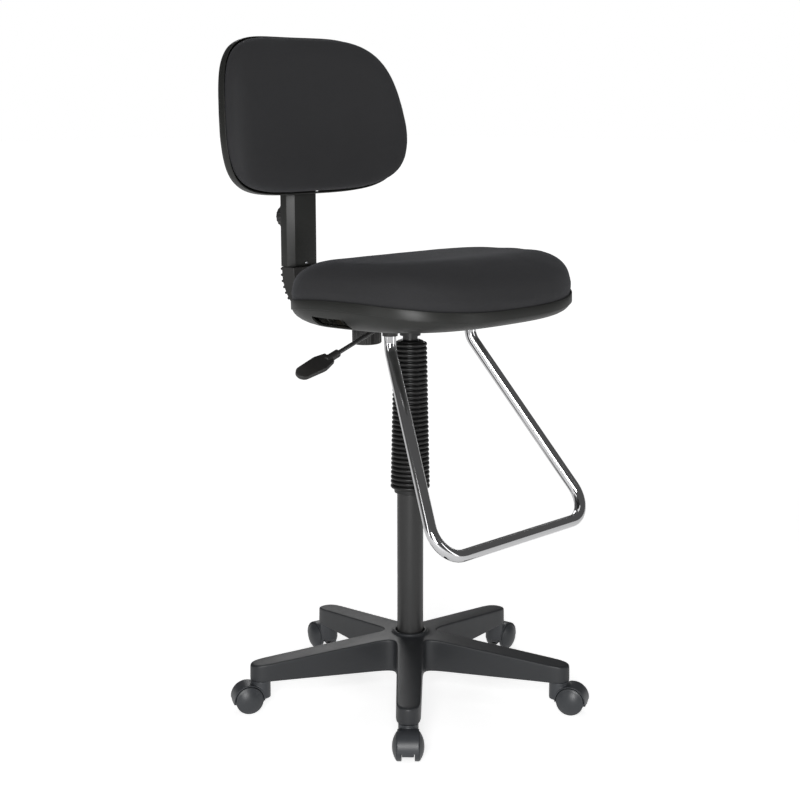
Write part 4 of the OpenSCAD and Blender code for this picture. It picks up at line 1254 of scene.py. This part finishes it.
def gripRibs(name, radius, length, matrix):
    # upright finger ribs set round a knob
    sizes = {"Ribs": knobLook["gripRibs"], "Ring": radius, "Rib Radius": knobLook["gripRadius"],
             "Length": length}
    tree, size = geometryTree(name + "Ribs", sizes)
    ring = tree.add("GeometryNodeMeshCircle", inputs={"Vertices": size["Ribs"], "Radius": size["Ring"]})
    rib = tree.add("GeometryNodeMeshCylinder",
                   inputs={"Vertices": 12, "Radius": size["Rib Radius"], "Depth": size["Length"]})
    stack = tree.add("GeometryNodeInstanceOnPoints", inputs={"Points": ring, "Instance": rib})
    piece = runTree(tree, stack, "knob_plastic", name, sizes)
    piece.data.transform(matrix)
    return piece


def knob(name, radius, thick, neck, neckLength, matrix):
    # a round grip with a domed face (towards +Z) over a neck
    profile = [(0.0, -neckLength), (neck, -neckLength), (neck, 0.0), (radius - 4 * mm, 0.0)]
    profile += [(radius - step * mm, z) for step, z in
                ((1.5, 0.8 * mm), (0.9, 2.4 * mm), (0.9, thick - 3.5 * mm), (1.8, thick - 1.2 * mm),
                 (4.5, thick), (8, thick + 0.6 * mm), (9, thick - 0.4 * mm))]
    profile += [(radius * 0.3, thick + 0.6 * mm), (0.0, thick + 0.9 * mm)]
    body = lathe(name + "Body", profile, 72, matrix)
    halfway = matrix @ Matrix.Translation((0, 0, thick / 2))
    ribs = gripRibs(name + "Grip", radius - knobLook["gripRadius"], thick - 5 * mm, halfway)
    whole = join(name, [body, ribs])
    shade(whole, 32.0)
    return whole


def stud(start, stop, matrix):
    radius = knobLook["studRadius"]
    return lathe("stud", [(0.0, start), (radius, start), (radius, stop), (0.0, stop)], 32, matrix)


def finishKnob(grip, name, core, node):
    whole = join(name, [grip, core])
    shade(whole, 32.0)
    handOver(whole, node, "knob_plastic", node)


def makeKnobs():
    # the depth knob hangs under the seat, the height knob stands out behind the back
    k = knobLook
    down = Matrix.Rotation(math.radians(180 - seatLook["tilt"]), 4, "X")
    place = Matrix.Translation(seatFrame @ Vector((0, k["depthOut"], k["depthLow"]))) @ down
    grip = knob("depthKnob", k["depthRadius"], 29 * mm, 17.5 * mm, 15 * mm, place)
    studPlace = seatFrame @ Matrix.Translation((0, k["depthOut"], 0))
    finishKnob(grip, "depthKnob", stud(-17 * mm, -7.4 * mm, studPlace), "depth_knob")
    low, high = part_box("height_knob")
    middle = (low.z + high.z) / 2
    rearwards = Matrix.Rotation(math.radians(-90), 4, "X")
    place = Matrix.Translation((0, high.y - 25.5 * mm, middle)) @ rearwards
    grip = knob("heightKnob", (high.z - low.z) / 2, 24 * mm, 9 * mm, 9.2 * mm, place)
    studPlace = Matrix.Translation((0, 0, middle)) @ rearwards
    finishKnob(grip, "heightKnob", stud(low.y, high.y - 30 * mm, studPlace), "height_knob")


makeKnobs()


def makeLeverAndBar():
    paddle = mouldedCopy("lever_paddle", "leverPaddle", 0.8 * mm, 10)
    handOver(paddle, "lever", "knob_plastic", "lever_paddle")
    boot = mouldedCopy("bar_boot", "barBoot", 1.1 * mm, 3)
    boot.data.transform(Matrix.Scale(0.94, 4, (1, 0, 0)))
    handOver(boot, "back_bar", "boot_rubber", "bar_boot")
    cover = easedCopy("upright_cover", "uprightCover", 1.0 * mm, 3, 40.0)
    handOver(cover, "back_bar", "shell_plastic", "upright_cover")
    for node, name, body, edge in (("back_bar", "backBar", "back_bar", 0.8 * mm),
                                   ("back_bracket", "backBracket", "backrest", 0.6 * mm),
                                   ("mechanism_box", "mechanismBox", "seat", 0.7 * mm)):
        handOver(easedCopy(node, name, edge), body, "frame_paint", node)
    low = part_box("upright_cover")[0]
    # a small raised screw head low on the cover's face
    head = [(r * mm, z * mm) for r, z in ((0, -1.2), (3.2, -1.2), (3.2, 0.4), (2.6, 1.1), (1.5, 1.5),
                                          (0.9, 1.5), (0.7, 0.6), (0, 0.6))]
    screw = lathe("coverScrew", head, 32, Matrix.Translation((2 * mm, low.y, low.z + 6 * mm))
                  @ Matrix.Rotation(math.radians(90), 4, "X"))
    shade(screw)
    handOver(screw, "back_bar", "zinc_steel")


makeLeverAndBar()
print("knobs, lever, bar and cover made")
